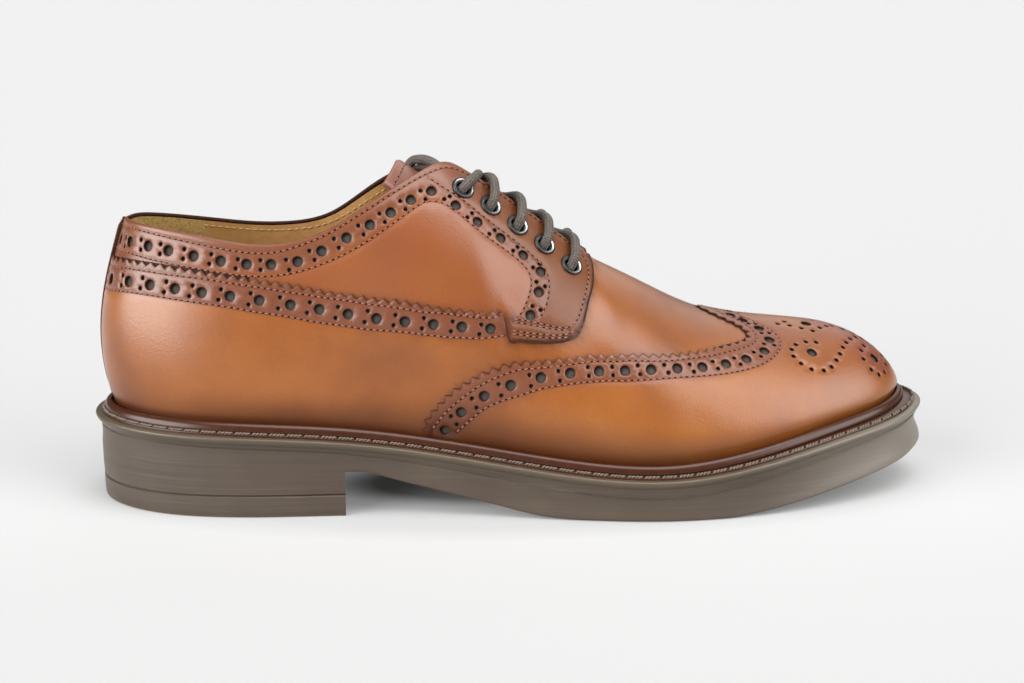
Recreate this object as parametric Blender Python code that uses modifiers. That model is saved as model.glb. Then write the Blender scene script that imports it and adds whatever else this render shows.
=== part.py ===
# A right-foot derby shoe, standing empty: a hollow upper with its tongue, eyelets and lace, an
# insole, a welt, and a rubber sole in four layers. Sizes are millimetres. X runs from the back of the
# heel to the toe, Y to the inner side of the foot, Z up from the floor.
import math

import bmesh
import bpy
import numpy as np
from mathutils import Matrix, Vector

MM = 0.001
SOLE_LENGTH = 306.0
TOE_POINT_Y = 2.0
GAP = 0.3

# Sole layers at the heel, from the floor.
LIFT_TOP = 7.9
BLOCK_TOP = 15.9
HEEL_SEAT = 16.2
BREAST_X = 91.0
BREAST_HOLLOW = 3.5
RIM_THICK = 2.2

# Upper, tongue, insole and welt.
WALL = 2.0
LASTED_WALL = 4.6
WELT_HIGH = 2.2
BEAD_HIGH = 4.0
WELT_SET_IN = 2.0
INSOLE_THICK = 2.6
TONGUE_THICK = 2.0
TONGUE_BEND_RADIUS = 21.0

# Eyelets and lace.
EYELET_HOLE_R = 2.4
EYELET_BARREL_R = 3.1
EYELET_FLANGE_R = 4.0
EYELET_HIGH = 0.7
LACE_R = 1.8

# A lace run: how far ahead of its eyelet it goes over the edge and how far behind it dives at the
# other edge, its clearances, and how far either side of the edge its arch is held.
LACE_AHEAD = 1.6
LACE_BEYOND = 6.0
LACE_OFF_EYELET = 0.5
LACE_OFF_EDGE = 0.9
LACE_OFF_LEATHER = 2.4
LACE_ARCH = 2.2
LACE_SINK = 0.6

WELD = 0.01
SHARP_DEG = 40.0

# Edges of the sole layers, from the bottom up: set in from the rim, and height above the floor
# (heel), above the tread (outsole) or below the rim's top (midsole). The last row of each is its
# top face, and the outsole's edge stands out further by TOE_FLARE towards the toe.
EDGE_COLUMNS = ("set_in", "height")
TOP_LIFT_EDGE = [
    (2.9, 0.0),
    (2.1, 0.9),
    (1.9, LIFT_TOP - 0.5),
    (2.4, LIFT_TOP),
]
HEEL_BLOCK_EDGE = [
    (2.4, LIFT_TOP + GAP),
    (1.9, LIFT_TOP + GAP + 0.5),
    (1.7, BLOCK_TOP),
]
OUTSOLE_EDGE = [
    (2.8, 0.0),
    (1.7, 1.1),
    (2.2, 3.0),
]
OUTSOLE_TOP_SET_IN = 2.1
TOE_FLARE = 2.0
TOE_FLARE_FROM = 235.0
TOE_FLARE_TO = 295.0
MIDSOLE_FOOT_SET_IN = 2.0
MIDSOLE_EDGE = [
    (1.5, RIM_THICK + 0.5),
    (0.2, RIM_THICK),
    (0.0, RIM_THICK / 2),
    (0.3, 0.3),
    (1.0, 0.0),
]

# Section of the welt: the strip from the rim's side, then the bead from the upper's side.
WELT_STRIP = [
    (WELT_SET_IN, GAP),
    (WELT_SET_IN, WELT_HIGH - 0.4),
    (WELT_SET_IN + 0.5, WELT_HIGH),
]
WELT_BEAD_COLUMNS = ("from_upper", "height")
WELT_BEAD = [
    (2.6, WELT_HIGH),
    (2.3, BEAD_HIGH - 0.6),
    (1.3, BEAD_HIGH),
    (0.3, BEAD_HIGH - 0.5),
    (0.0, BEAD_HIGH - 1.5),
    (0.0, GAP),
]

# Edge of the insole: clear of the upper's wall, and height above the midsole.
INSOLE_EDGE = [
    (0.4, GAP),
    (0.4, GAP + INSOLE_THICK - 0.5),
    (1.0, GAP + INSOLE_THICK),
]

# Section of an eyelet, round its hole: flange on the leather, barrel through it.
EYELET_COLUMNS = ("radius", "height")
EYELET_FOOT = 0.2 - WALL
EYELET_SECTION = [
    (EYELET_HOLE_R, EYELET_FOOT),
    (EYELET_HOLE_R + 0.3, GAP + EYELET_HIGH),
    (EYELET_FLANGE_R - 0.5, GAP + EYELET_HIGH),
    (EYELET_FLANGE_R, GAP),
    (EYELET_BARREL_R, GAP),
    (EYELET_BARREL_R, EYELET_FOOT),
]

# Sole outline at the rim, from above: outer (little toe) side and inner side.
OUTLINE_COLUMNS = ("x", "outer", "inner")
OUTLINE = [
    (12.0, -25.0, 25.5),
    (35.0, -37.0, 36.0),
    (70.0, -40.8, 36.8),
    (105.0, -41.0, 33.5),
    (140.0, -45.0, 33.0),
    (175.0, -51.6, 38.5),
    (205.0, -54.6, 46.5),
    (225.0, -52.6, 49.5),
    (250.0, -46.6, 47.6),
    (275.0, -36.0, 39.0),
    (293.0, -23.6, 27.0),
    (302.0, -11.6, 15.5),
]

# Heights along the sole: top of the rim, and thickness of the midsole.
RIM_COLUMNS = ("x", "top", "midsole")
RIM = [
    (0.0, 31.2, 4.2),
    (30.0, 30.3, 4.2),
    (60.0, 29.2, 4.3),
    (90.0, 27.2, 4.4),
    (130.0, 22.0, 5.4),
    (170.0, 16.6, 6.2),
    (205.0, 15.2, 6.3),
    (235.0, 18.8, 5.8),
    (265.0, 24.4, 5.0),
    (290.0, 27.8, 4.2),
    (306.0, 29.7, 3.8),
]

# Underside of the outsole: heel seat, waist, flat tread, toe spring.
TREAD_COLUMNS = ("x", "z")
TREAD = [
    (0.0, HEEL_SEAT),
    (93.0, HEEL_SEAT),
    (113.0, 11.6),
    (140.0, 5.0),
    (162.0, 0.5),
    (172.0, 0.0),
    (224.0, 0.0),
    (234.0, 0.8),
    (250.0, 3.4),
    (275.0, 8.2),
    (295.0, 12.1),
    (306.0, 14.4),
]

# How far the upper stands in from the rim.
FEATHER_COLUMNS = ("x", "set_in")
FEATHER = [
    (0.0, 6.8),
    (60.0, 7.2),
    (150.0, 7.6),
    (230.0, 8.2),
    (290.0, 9.4),
    (306.0, 9.8),
]

# Ribs of the upper, one row a station, from the back seam round one side to the toe. s places the
# foot of the rib along the outline (0 heel, 1 toe). xe, ye, ze is its top: the collar, then the
# edge of the lace gap, then the ridge of the vamp. lean is how far it starts out from upright and
# rise how steeply it ends, in degrees. low and high are its fullness as shares of its length.
RIB_COLUMNS = ("s", "xe", "ye", "ze", "lean", "rise", "low", "high")
OUTER_RIBS = [
    (0.000, 13.2, 0.0, 100.6, 15.0, 74.0, 0.43, 0.30),
    (0.095, 16.0, -8.6, 100.6, 14.0, 75.0, 0.42, 0.30),
    (0.150, 22.0, -15.6, 100.0, 12.0, 77.0, 0.37, 0.31),
    (0.200, 31.0, -20.8, 98.9, 10.5, 79.0, 0.36, 0.32),
    (0.245, 43.0, -24.8, 97.2, 9.5, 80.0, 0.35, 0.33),
    (0.290, 56.0, -27.3, 95.0, 9.0, 80.0, 0.35, 0.34),
    (0.332, 70.0, -28.4, 94.6, 8.0, 78.0, 0.35, 0.35),
    (0.364, 84.0, -28.0, 98.2, 7.5, 74.0, 0.36, 0.36),
    (0.388, 96.0, -25.9, 104.9, 7.0, 68.0, 0.37, 0.37),
    (0.410, 107.0, -22.4, 111.6, 7.0, 60.0, 0.38, 0.37),
    (0.428, 116.0, -18.6, 116.8, 7.0, 54.0, 0.38, 0.37),
    (0.444, 123.0, -14.8, 120.2, 7.0, 49.0, 0.38, 0.37),
    (0.460, 129.0, -11.4, 120.8, 7.0, 45.0, 0.38, 0.37),
    (0.476, 136.0, -9.8, 116.9, 7.0, 42.0, 0.38, 0.37),
    (0.494, 146.0, -9.2, 110.0, 7.0, 43.0, 0.38, 0.33),
    (0.514, 157.0, -8.6, 102.0, 7.0, 41.0, 0.37, 0.31),
    (0.533, 166.6, -8.1, 94.6, 7.0, 38.0, 0.36, 0.30),
    (0.548, 173.6, -7.6, 89.2, 7.0, 33.0, 0.35, 0.30),
    (0.561, 177.6, -5.9, 86.0, 7.0, 22.0, 0.34, 0.31),
    (0.574, 180.0, -2.2, 83.9, 7.0, 9.0, 0.33, 0.33),
    (0.590, 182.0, 1.6, 82.3, 7.0, 0.0, 0.32, 0.34),
    (0.622, 199.0, 1.9, 73.9, 7.0, 0.0, 0.31, 0.36),
    (0.660, 217.4, 2.2, 65.0, 7.0, 0.0, 0.30, 0.39),
    (0.704, 234.0, 2.4, 60.6, 6.0, 0.0, 0.29, 0.40),
    (0.752, 246.0, 2.4, 59.2, 5.0, 0.0, 0.27, 0.41),
    (0.808, 255.0, 2.3, 58.4, 3.0, 0.0, 0.25, 0.41),
    (0.870, 260.0, 2.2, 57.9, 1.0, 0.0, 0.24, 0.43),
    (0.935, 262.6, 2.1, 57.6, -1.0, 0.0, 0.23, 0.43),
    (1.000, 263.6, 2.0, 57.5, -2.0, 0.0, 0.23, 0.43),
]
INNER_RIBS = [
    (0.000, 13.2, 0.0, 100.6, 15.0, 74.0, 0.43, 0.30),
    (0.095, 16.0, 8.6, 100.6, 14.0, 75.0, 0.42, 0.30),
    (0.150, 22.0, 15.6, 99.6, 12.0, 77.0, 0.37, 0.31),
    (0.200, 31.0, 20.8, 98.0, 10.5, 79.0, 0.36, 0.32),
    (0.245, 43.0, 24.8, 96.0, 9.5, 80.0, 0.35, 0.33),
    (0.290, 56.0, 27.3, 94.2, 9.0, 80.0, 0.35, 0.34),
    (0.332, 70.0, 28.4, 93.8, 8.0, 78.0, 0.35, 0.35),
    (0.364, 84.0, 28.2, 96.4, 7.5, 74.0, 0.36, 0.36),
    (0.388, 96.0, 26.6, 103.8, 8.0, 68.0, 0.37, 0.37),
    (0.410, 107.0, 23.6, 111.8, 9.0, 60.0, 0.38, 0.37),
    (0.428, 116.0, 20.4, 115.6, 10.0, 54.0, 0.38, 0.37),
    (0.444, 123.0, 17.0, 117.0, 10.0, 49.0, 0.38, 0.37),
    (0.460, 129.0, 14.2, 116.2, 10.0, 45.0, 0.38, 0.37),
    (0.476, 136.0, 12.6, 112.8, 10.0, 42.0, 0.38, 0.37),
    (0.494, 146.0, 12.0, 106.6, 9.0, 43.0, 0.38, 0.33),
    (0.514, 157.0, 11.4, 100.0, 8.0, 41.0, 0.37, 0.31),
    (0.533, 166.6, 10.9, 93.0, 7.0, 38.0, 0.36, 0.30),
    (0.548, 173.6, 10.4, 88.0, 6.0, 33.0, 0.36, 0.30),
    (0.561, 177.6, 8.9, 85.4, 6.0, 22.0, 0.36, 0.31),
    (0.574, 180.0, 5.4, 83.7, 6.0, 9.0, 0.36, 0.33),
    (0.590, 182.0, 1.6, 82.3, 6.0, 0.0, 0.36, 0.36),
    (0.622, 199.0, 1.9, 73.9, 6.0, 0.0, 0.35, 0.38),
    (0.660, 217.4, 2.2, 65.0, 6.0, 0.0, 0.34, 0.40),
    (0.704, 234.0, 2.4, 60.6, 5.0, 0.0, 0.32, 0.40),
    (0.752, 246.0, 2.4, 59.2, 4.0, 0.0, 0.29, 0.41),
    (0.808, 255.0, 2.3, 58.4, 3.0, 0.0, 0.26, 0.41),
    (0.870, 260.0, 2.2, 57.9, 1.0, 0.0, 0.24, 0.43),
    (0.935, 262.6, 2.1, 57.6, -1.0, 0.0, 0.23, 0.43),
    (1.000, 263.6, 2.0, 57.5, -2.0, 0.0, 0.23, 0.43),
]
COLLAR_END_ROW = 11.5
THROAT_ROW = 14
RIDGE_ROW = 20

# Line of the tongue along its middle, and its half width.
TONGUE_COLUMNS = ("x", "y", "z", "half")
TONGUE = [
    (110.8, 2.0, 120.6, 16.0),
    (120.0, 2.0, 114.2, 17.5),
    (135.0, 2.0, 105.2, 19.5),
    (152.0, 2.0, 95.3, 19.5),
    (170.0, 1.8, 85.2, 18.5),
    (184.0, 1.7, 77.6, 16.5),
    (194.0, 1.7, 71.8, 15.0),
]

# Eyelets, the top one first: place along the lace gap, and distance down from its edge.
EYELETS = [
    (132.0, 10.2),
    (141.7, 10.3),
    (151.4, 10.8),
    (160.9, 11.2),
    (170.4, 12.2),
]

# Lace ends: stops across the top of the tongue, and the step from one to the other beside it.
LACE_BAR = [
    (115.7, 12.0, 117.6),
    (118.4, 7.0, 119.3),
    (122.0, 2.0, 119.4),
    (125.4, -3.5, 117.7),
    (128.0, -8.6, 114.6),
]
LACE_BAR_STEP = (2.75, 0.0, -1.95)

# How finely each shape is cut into facets.
SOLE_STEPS = 36
HEEL_STEPS = 16
BREAST_STEPS = 6
STATIONS_PER_ROW = 2
RIB_STEPS = 8
RING_SIDES = 10
TONGUE_STEPS = 10
TONGUE_ACROSS = 8
LACE_STEPS = 10
LACE_BAR_STEPS = 8


def column(table, names, name):
    place = names.index(name)
    return np.array([row[place] for row in table])


def spline(at, values):
    """A smooth curve through values at the places in at, straight at its two ends."""
    at = np.asarray(at, float)
    values = np.asarray(values, float)
    step = np.diff(at)
    size = len(at)
    system = np.eye(size)
    right = np.zeros(size)
    slope = np.diff(values) / step
    for i in range(1, size - 1):
        system[i, i - 1] = step[i - 1]
        system[i, i] = 2 * (step[i - 1] + step[i])
        system[i, i + 1] = step[i]
        right[i] = 6 * (slope[i] - slope[i - 1])
    bend = np.linalg.solve(system, right)

    def curve(t):
        t = np.asarray(t, float)
        k = np.clip(np.searchsorted(at, t, side="right") - 1, 0, size - 2)
        before = t - at[k]
        after = at[k + 1] - t
        h = step[k]
        cubic = (bend[k] * after**3 + bend[k + 1] * before**3) / (6 * h)
        left = (values[k] / h - bend[k] * h / 6) * after
        return cubic + left + (values[k + 1] / h - bend[k + 1] * h / 6) * before

    return curve


def steady(at, values):
    """A curve through values that never overshoots them."""
    at = np.asarray(at, float)
    values = np.asarray(values, float)
    step = np.diff(at)
    slope = np.diff(values) / step
    tangent = np.zeros(len(at))
    for i in range(1, len(at) - 1):
        if slope[i - 1] * slope[i] > 0:
            a = 2 * step[i] + step[i - 1]
            b = step[i] + 2 * step[i - 1]
            tangent[i] = (a + b) / (a / slope[i - 1] + b / slope[i])
    tangent[0] = slope[0]
    tangent[-1] = slope[-1]

    def curve(t):
        t = np.clip(np.asarray(t, float), at[0], at[-1])
        k = np.clip(np.searchsorted(at, t, side="right") - 1, 0, len(at) - 2)
        h = step[k]
        w = (t - at[k]) / h
        start = values[k] * (1 + 2 * w) * (1 - w) ** 2 + tangent[k] * h * w * (1 - w) ** 2
        return start + values[k + 1] * w**2 * (3 - 2 * w) + tangent[k + 1] * h * w**2 * (w - 1)

    return curve


def place_on_outline(x):
    """The place s of a point x along the outline: evenly spread round the two ends."""
    return np.arccos(np.clip(1 - 2 * np.asarray(x, float) / SOLE_LENGTH, -1, 1)) / math.pi


outline_s = np.concatenate([[0.0], place_on_outline(column(OUTLINE, OUTLINE_COLUMNS, "x")), [1.0]])
side_curve = {}
for side_name in ("outer", "inner"):
    widths = np.concatenate([[0.0], column(OUTLINE, OUTLINE_COLUMNS, side_name), [TOE_POINT_Y]])
    side_curve[side_name] = spline(outline_s, widths)
rim_x = column(RIM, RIM_COLUMNS, "x")
rim_top = spline(rim_x, column(RIM, RIM_COLUMNS, "top"))
midsole_thick = spline(rim_x, column(RIM, RIM_COLUMNS, "midsole"))
tread_z = steady(column(TREAD, TREAD_COLUMNS, "x"), column(TREAD, TREAD_COLUMNS, "z"))
feather_set_in = steady(
    column(FEATHER, FEATHER_COLUMNS, "x"), column(FEATHER, FEATHER_COLUMNS, "set_in")
)

outline_y = [side_curve[n](np.linspace(0, 1, 400)) for n in ("outer", "inner")]
CENTRE = np.array([SOLE_LENGTH / 2, (np.min(outline_y[0]) + np.max(outline_y[1])) / 2, 0.0])


def outline_point(side, s):
    x = SOLE_LENGTH * (1 - np.cos(math.pi * np.asarray(s, float))) / 2
    return np.stack([x, side_curve[side](s)], axis=-1)


def outward(side, s):
    """The unit direction out of the outline, seen from above."""
    s = np.asarray(s, float)
    reach = 1e-4
    ahead = outline_point(side, np.minimum(s + reach, 1.0))
    behind = outline_point(side, np.maximum(s - reach, 0.0))
    along = ahead - behind
    along /= np.linalg.norm(along, axis=-1, keepdims=True)
    turn = 1.0 if side == "outer" else -1.0
    out = np.stack([along[..., 1], -along[..., 0]], axis=-1) * turn
    ends = np.isclose(s, 0.0) | np.isclose(s, 1.0)
    tip = np.stack([np.where(s < 0.5, -1.0, 1.0), np.zeros_like(s)], axis=-1)
    return np.where(ends[..., None], tip, out)


def inset_point(side, s, set_in):
    set_in = np.broadcast_to(np.asarray(set_in, float), np.shape(s))
    return outline_point(side, s) - outward(side, s) * set_in[..., None]


def sole_loop(set_in, height, steps=SOLE_STEPS, last=1.0):
    """A closed loop round the sole, set_in from the rim, at height(x). Both may vary with x."""
    s = np.linspace(0.0, last, steps + 1)
    rows = []
    for side in ("outer", "inner"):
        x = outline_point(side, s)[:, 0]
        depth = set_in(x) if callable(set_in) else set_in
        flat = inset_point(side, s, depth)
        z = height(x) if callable(height) else np.full(len(s), float(height))
        rows.append(np.column_stack([flat, z]))
    outer, inner = rows
    inside = inner[1:-1] if last == 1.0 else inner[1:]
    return np.vstack([outer, inside[::-1]])


def heel_loop(set_in, height):
    """A loop round the heel only, closed across the hollowed breast."""
    loop = sole_loop(set_in, height, HEEL_STEPS, float(place_on_outline(BREAST_X)))
    first = loop[HEEL_STEPS]
    second = loop[HEEL_STEPS + 1]
    across = np.linspace(0, 1, BREAST_STEPS + 1)[1:-1, None]
    breast = first + (second - first) * across
    breast[:, 0] -= BREAST_HOLLOW * 4 * across[:, 0] * (1 - across[:, 0])
    return np.vstack([loop[: HEEL_STEPS + 1], breast, loop[HEEL_STEPS + 1 :]])


def side_faces(count, loops, closed=False):
    """Quads between neighbouring loops of count points."""
    faces = []
    for level in range(loops if closed else loops - 1):
        low = level * count
        high = ((level + 1) % loops) * count
        for i in range(count):
            j = (i + 1) % count
            faces.append((low + i, low + j, high + j, high + i))
    return faces


def rung_faces(first, steps, upward):
    """Faces across a sole loop, from its outer side to its inner side."""
    count = 2 * steps
    faces = []
    for i in range(steps):
        a = first + i
        b = first + i + 1
        c = first + (count - i - 1) % count
        d = first + (count - i) % count
        face = [a, b, c, d]
        if i == 0:
            face = [a, b, c]
        elif i == steps - 1:
            face = [a, b, d]
        faces.append(tuple(face if upward else face[::-1]))
    return faces


def dress(thing, colour, roughness, metallic=0.0):
    """Gives an object its material and puts it with the shoe's parts."""
    material = bpy.data.materials.new(thing.name + "_material")
    material.use_nodes = True
    shader = material.node_tree.nodes["Principled BSDF"]
    shader.inputs["Base Color"].default_value = (*colour, 1.0)
    shader.inputs["Roughness"].default_value = roughness
    shader.inputs["Metallic"].default_value = metallic
    thing.data.materials.append(material)
    shoe.objects.link(thing)
    return thing


def to_metres(point):
    return Vector((np.asarray(point) - CENTRE) * MM)


def make_mesh(name, points, faces):
    mesh = bpy.data.meshes.new(name)
    mesh.from_pydata([to_metres(point) for point in points], [], faces)
    mesh.shade_smooth()
    mesh.set_sharp_from_angle(angle=math.radians(SHARP_DEG))
    return bpy.data.objects.new(name, mesh)


def set_as_cutter(thing):
    """Keeps a helper out of the finished shoe."""
    for owner in list(thing.users_collection):
        owner.objects.unlink(thing)
    cutters.objects.link(thing)
    thing.hide_render = True
    thing.display_type = "WIRE"


def sole_solid(name, loops, colour, roughness):
    """A closed solid through sole loops listed from the bottom up."""
    count = len(loops[0])
    faces = side_faces(count, len(loops))
    faces += rung_faces(0, count // 2, False)
    faces += rung_faces(count * (len(loops) - 1), count // 2, True)
    return dress(make_mesh(name, np.vstack(loops), faces), colour, roughness)


def heel_solid(name, loops, colour, roughness):
    count = len(loops[0])
    faces = side_faces(count, len(loops))
    faces.append(tuple(range(count))[::-1])
    faces.append(tuple(range(count * (len(loops) - 1), count * len(loops))))
    return dress(make_mesh(name, np.vstack(loops), faces), colour, roughness)


RIBS = {"outer": OUTER_RIBS, "inner": INNER_RIBS}
rib_curve = {}
for side_name, table in RIBS.items():
    rows_at = np.arange(len(table))
    rib_curve[side_name] = {
        name: spline(rows_at, column(table, RIB_COLUMNS, name)) for name in RIB_COLUMNS
    }


def ridge_point(u):
    """The ridge of the vamp at station u, which both sides share."""
    both = [[float(rib_curve[n][c](u)) for c in ("xe", "ye", "ze")] for n in ("outer", "inner")]
    return np.mean(both, axis=0)


def rib(side, u):
    """Control points of the rib at station u: foot, top of the lasted wall, two handles, top."""
    value = {name: float(curve(u)) for name, curve in rib_curve[side].items()}
    s = min(max(value["s"], 0.0), 1.0)
    on_ridge = u >= RIDGE_ROW - 1e-9
    edge = ridge_point(u) if on_ridge else np.array([value["xe"], value["ye"], value["ze"]])
    x = float(outline_point(side, s)[0])
    out = outward(side, np.array(s))
    flat = outline_point(side, s) - out * float(feather_set_in(x))
    foot = np.array([flat[0], flat[1], float(rim_top(flat[0])) + GAP])
    wall = foot + np.array([0.0, 0.0, LASTED_WALL])
    lean = math.radians(value["lean"])
    start = np.array([out[0] * math.sin(lean), out[1] * math.sin(lean), math.cos(lean)])
    level = edge[:2] - wall[:2]
    level /= np.linalg.norm(level)
    ahead = min(max(u, RIDGE_ROW) + 1e-3, len(RIBS[side]) - 1)
    run = ridge_point(ahead) - ridge_point(ahead - 1e-3)
    ease = min(max((u - THROAT_ROW) / (RIDGE_ROW - THROAT_ROW), 0.0), 1.0)
    fall = run[2] / run[0] * ease * ease * (3 - 2 * ease)
    end = np.array([level[0], level[1], math.tan(math.radians(value["rise"])) + fall * level[0]])
    end /= np.linalg.norm(end)
    length = np.linalg.norm(edge - wall)
    low = wall + start * value["low"] * length
    high = edge - end * value["high"] * length
    return foot, wall, low, high, edge


def on_rib(points, t):
    """The point at share t of the curved part of a rib."""
    _, wall, low, high, edge = points
    return (
        wall * (1 - t) ** 3
        + low * 3 * t * (1 - t) ** 2
        + high * 3 * t**2 * (1 - t)
        + edge * t**3
    )


def surface_point(side, u, from_edge):
    """The point on the upper a given distance down the rib from its top, and its outward normal."""
    points = rib(side, u)
    shares = np.linspace(1.0, 0.0, 401)
    line = np.array([on_rib(points, t) for t in shares])
    run = np.concatenate([[0.0], np.cumsum(np.linalg.norm(np.diff(line, axis=0), axis=1))])
    t = float(np.interp(from_edge, run, shares))
    here = on_rib(points, t)
    down = on_rib(points, t - 0.01) - here
    beside = on_rib(rib(side, u + 0.05), t) - on_rib(rib(side, u - 0.05), t)
    normal = np.cross(down, beside)
    normal /= np.linalg.norm(normal)
    if normal[2] < 0:
        normal = -normal
    return here, normal


def station_at(side, x):
    """The station in the lace gap whose top stands at x."""
    u = np.linspace(COLLAR_END_ROW, RIDGE_ROW, 900)
    return float(np.interp(x, rib_curve[side]["xe"](u), u))


def upper_surface():
    """The outer skin of the upper as one open sheet of points and faces."""
    points = []
    faces = []
    index = {}

    def add(point):
        key = tuple(np.round(point, 4))
        if key not in index:
            index[key] = len(points)
            points.append(point)
        return index[key]

    last_row = len(OUTER_RIBS) - 1
    for side in ("outer", "inner"):
        grid = []
        for u in np.linspace(0, last_row, last_row * STATIONS_PER_ROW + 1):
            base = rib("outer" if u in (0, last_row) else side, u)
            line = [base[0], base[1]]
            line += [on_rib(base, t) for t in np.linspace(0, 1, RIB_STEPS + 1)[1:]]
            grid.append([add(p) for p in line])
        for here, after in zip(grid, grid[1:]):
            for k in range(len(here) - 1):
                face = (here[k], after[k], after[k + 1], here[k + 1])
                face = face if side == "outer" else face[::-1]
                face = tuple(dict.fromkeys(face))
                if len(face) > 2:
                    faces.append(face)
    return points, faces


def stand_on(spot, square):
    """The placing of an object whose Z axis stands square to the upper at a spot."""
    turn = Vector((0.0, 0.0, 1.0)).rotation_difference(Vector(square))
    return Matrix.Translation(to_metres(spot)) @ turn.to_matrix().to_4x4()


def cord(name, path, radius):
    """A capped round cord along a path, as a mesh that can be joined to another."""
    line = bpy.data.curves.new(name, "CURVE")
    line.dimensions = "3D"
    line.bevel_depth = radius * MM
    line.bevel_resolution = 2
    line.use_fill_caps = True
    run = line.splines.new("POLY")
    run.points.add(len(path) - 1)
    for knot, point in zip(run.points, path):
        knot.co = (*to_metres(point), 1.0)
    drawn = bpy.data.objects.new(name + "_line", line)
    shoe.objects.link(drawn)
    seen = drawn.evaluated_get(bpy.context.evaluated_depsgraph_get())
    mesh = bpy.data.meshes.new_from_object(seen)
    bpy.data.objects.remove(drawn)
    build = bmesh.new()
    build.from_mesh(mesh)
    bmesh.ops.remove_doubles(build, verts=build.verts, dist=WELD * MM)
    bmesh.ops.recalc_face_normals(build, faces=build.faces)
    build.to_mesh(mesh)
    build.free()
    mesh.shade_smooth()
    return bpy.data.objects.new(name, mesh)


def smooth_path(stops, count):
    """Evenly spaced points on a smooth curve through hand-placed stops."""
    stops = np.asarray(stops, float)
    run = np.concatenate([[0.0], np.cumsum(np.linalg.norm(np.diff(stops, axis=0), axis=1))])
    even = np.linspace(0, run[-1], count)
    return np.column_stack([spline(run, stops[:, axis])(even) for axis in range(3)])


def join(first, second):
    """Makes two crossing cords one solid."""
    union = first.modifiers.new("joined", "BOOLEAN")
    union.operation = "UNION"
    union.object = second
    set_as_cutter(second)


for old in list(bpy.data.objects):
    bpy.data.objects.remove(old)
shoe = bpy.data.collections.new("derby_shoe")
cutters = bpy.data.collections.new("cutters")
bpy.context.scene.collection.children.link(shoe)
bpy.context.scene.collection.children.link(cutters)

RUBBER = (0.16, 0.125, 0.10)
DARK_RUBBER = (0.13, 0.10, 0.08)
TAN = (0.46, 0.19, 0.075)
DARK_LEATHER = (0.07, 0.03, 0.018)
LINING = (0.40, 0.23, 0.07)
CORD = (0.075, 0.066, 0.055)
METAL = (0.18, 0.19, 0.20)


def midsole_bottom(x):
    return rim_top(x) - midsole_thick(x)


def toe_flare(set_in):
    span = TOE_FLARE_TO - TOE_FLARE_FROM
    return lambda x: set_in - TOE_FLARE * np.clip((x - TOE_FLARE_FROM) / span, 0.0, 1.0)


def above_tread(height):
    return lambda x: tread_z(x) + height


def above_rim(height):
    return lambda x: rim_top(x) + height


def from_upper(step):
    return lambda x: feather_set_in(x) + step


# Heel: top lift on the floor, then the heel block.
top_lift = [heel_loop(set_in, height) for set_in, height in TOP_LIFT_EDGE]
heel_solid("top_lift", top_lift, DARK_RUBBER, 0.6)
heel_block = [heel_loop(set_in, height) for set_in, height in HEEL_BLOCK_EDGE]
heel_solid("heel_block", heel_block, RUBBER, 0.6)

# Outsole: hollowed side wall, flared lower edge that stands out at the toe.
outsole = [sole_loop(toe_flare(set_in), above_tread(height)) for set_in, height in OUTSOLE_EDGE]
outsole.append(sole_loop(OUTSOLE_TOP_SET_IN, lambda x: midsole_bottom(x) - GAP))
sole_solid("outsole", outsole, RUBBER, 0.6)

# Midsole: a plate with a rounded rim standing out at its top.
midsole = [sole_loop(MIDSOLE_FOOT_SET_IN, midsole_bottom)]
midsole += [sole_loop(set_in, above_rim(-below)) for set_in, below in MIDSOLE_EDGE]
sole_solid("midsole", midsole, RUBBER, 0.6)

# Welt: a flat strip with a rounded bead standing against the upper, all the way round.
welt = [sole_loop(set_in, above_rim(height)) for set_in, height in WELT_STRIP]
welt += [sole_loop(from_upper(-GAP - step), above_rim(height)) for step, height in WELT_BEAD]
welt_faces = side_faces(2 * SOLE_STEPS, len(welt), closed=True)
dress(make_mesh("welt", np.vstack(welt), welt_faces), DARK_LEATHER, 0.4)

# Upper: one sheet, thickened inward, with a hole for each eyelet.
eyelets = {}
for side_name in ("outer", "inner"):
    for number, (x, from_edge) in enumerate(EYELETS, start=1):
        eyelets[side_name, number] = surface_point(side_name, station_at(side_name, x), from_edge)
upper = dress(make_mesh("upper", *upper_surface()), TAN, 0.45)
thicken = upper.modifiers.new("leather and lining", "SOLIDIFY")
thicken.thickness = WALL * MM
thicken.offset = -1.0
thicken.use_even_offset = True
thicken.use_quality_normals = True
build = bmesh.new()
for spot, square in eyelets.values():
    bmesh.ops.create_cone(
        build,
        cap_ends=True,
        segments=RING_SIDES,
        radius1=(EYELET_BARREL_R + GAP) * MM,
        radius2=(EYELET_BARREL_R + GAP) * MM,
        depth=4 * WALL * MM,
        matrix=stand_on(spot, square),
    )
hole_mesh = bpy.data.meshes.new("eyelet_holes")
build.to_mesh(hole_mesh)
build.free()
holes = bpy.data.objects.new("eyelet_holes", hole_mesh)
set_as_cutter(holes)
cut = upper.modifiers.new("eyelet holes", "BOOLEAN")
cut.operation = "DIFFERENCE"
cut.object = holes

# Insole: a plate inside the upper, on the midsole.
insole = [sole_loop(from_upper(WALL + GAP + step), above_rim(height)) for step, height in INSOLE_EDGE]
sole_solid("insole", insole, LINING, 0.7)

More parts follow.
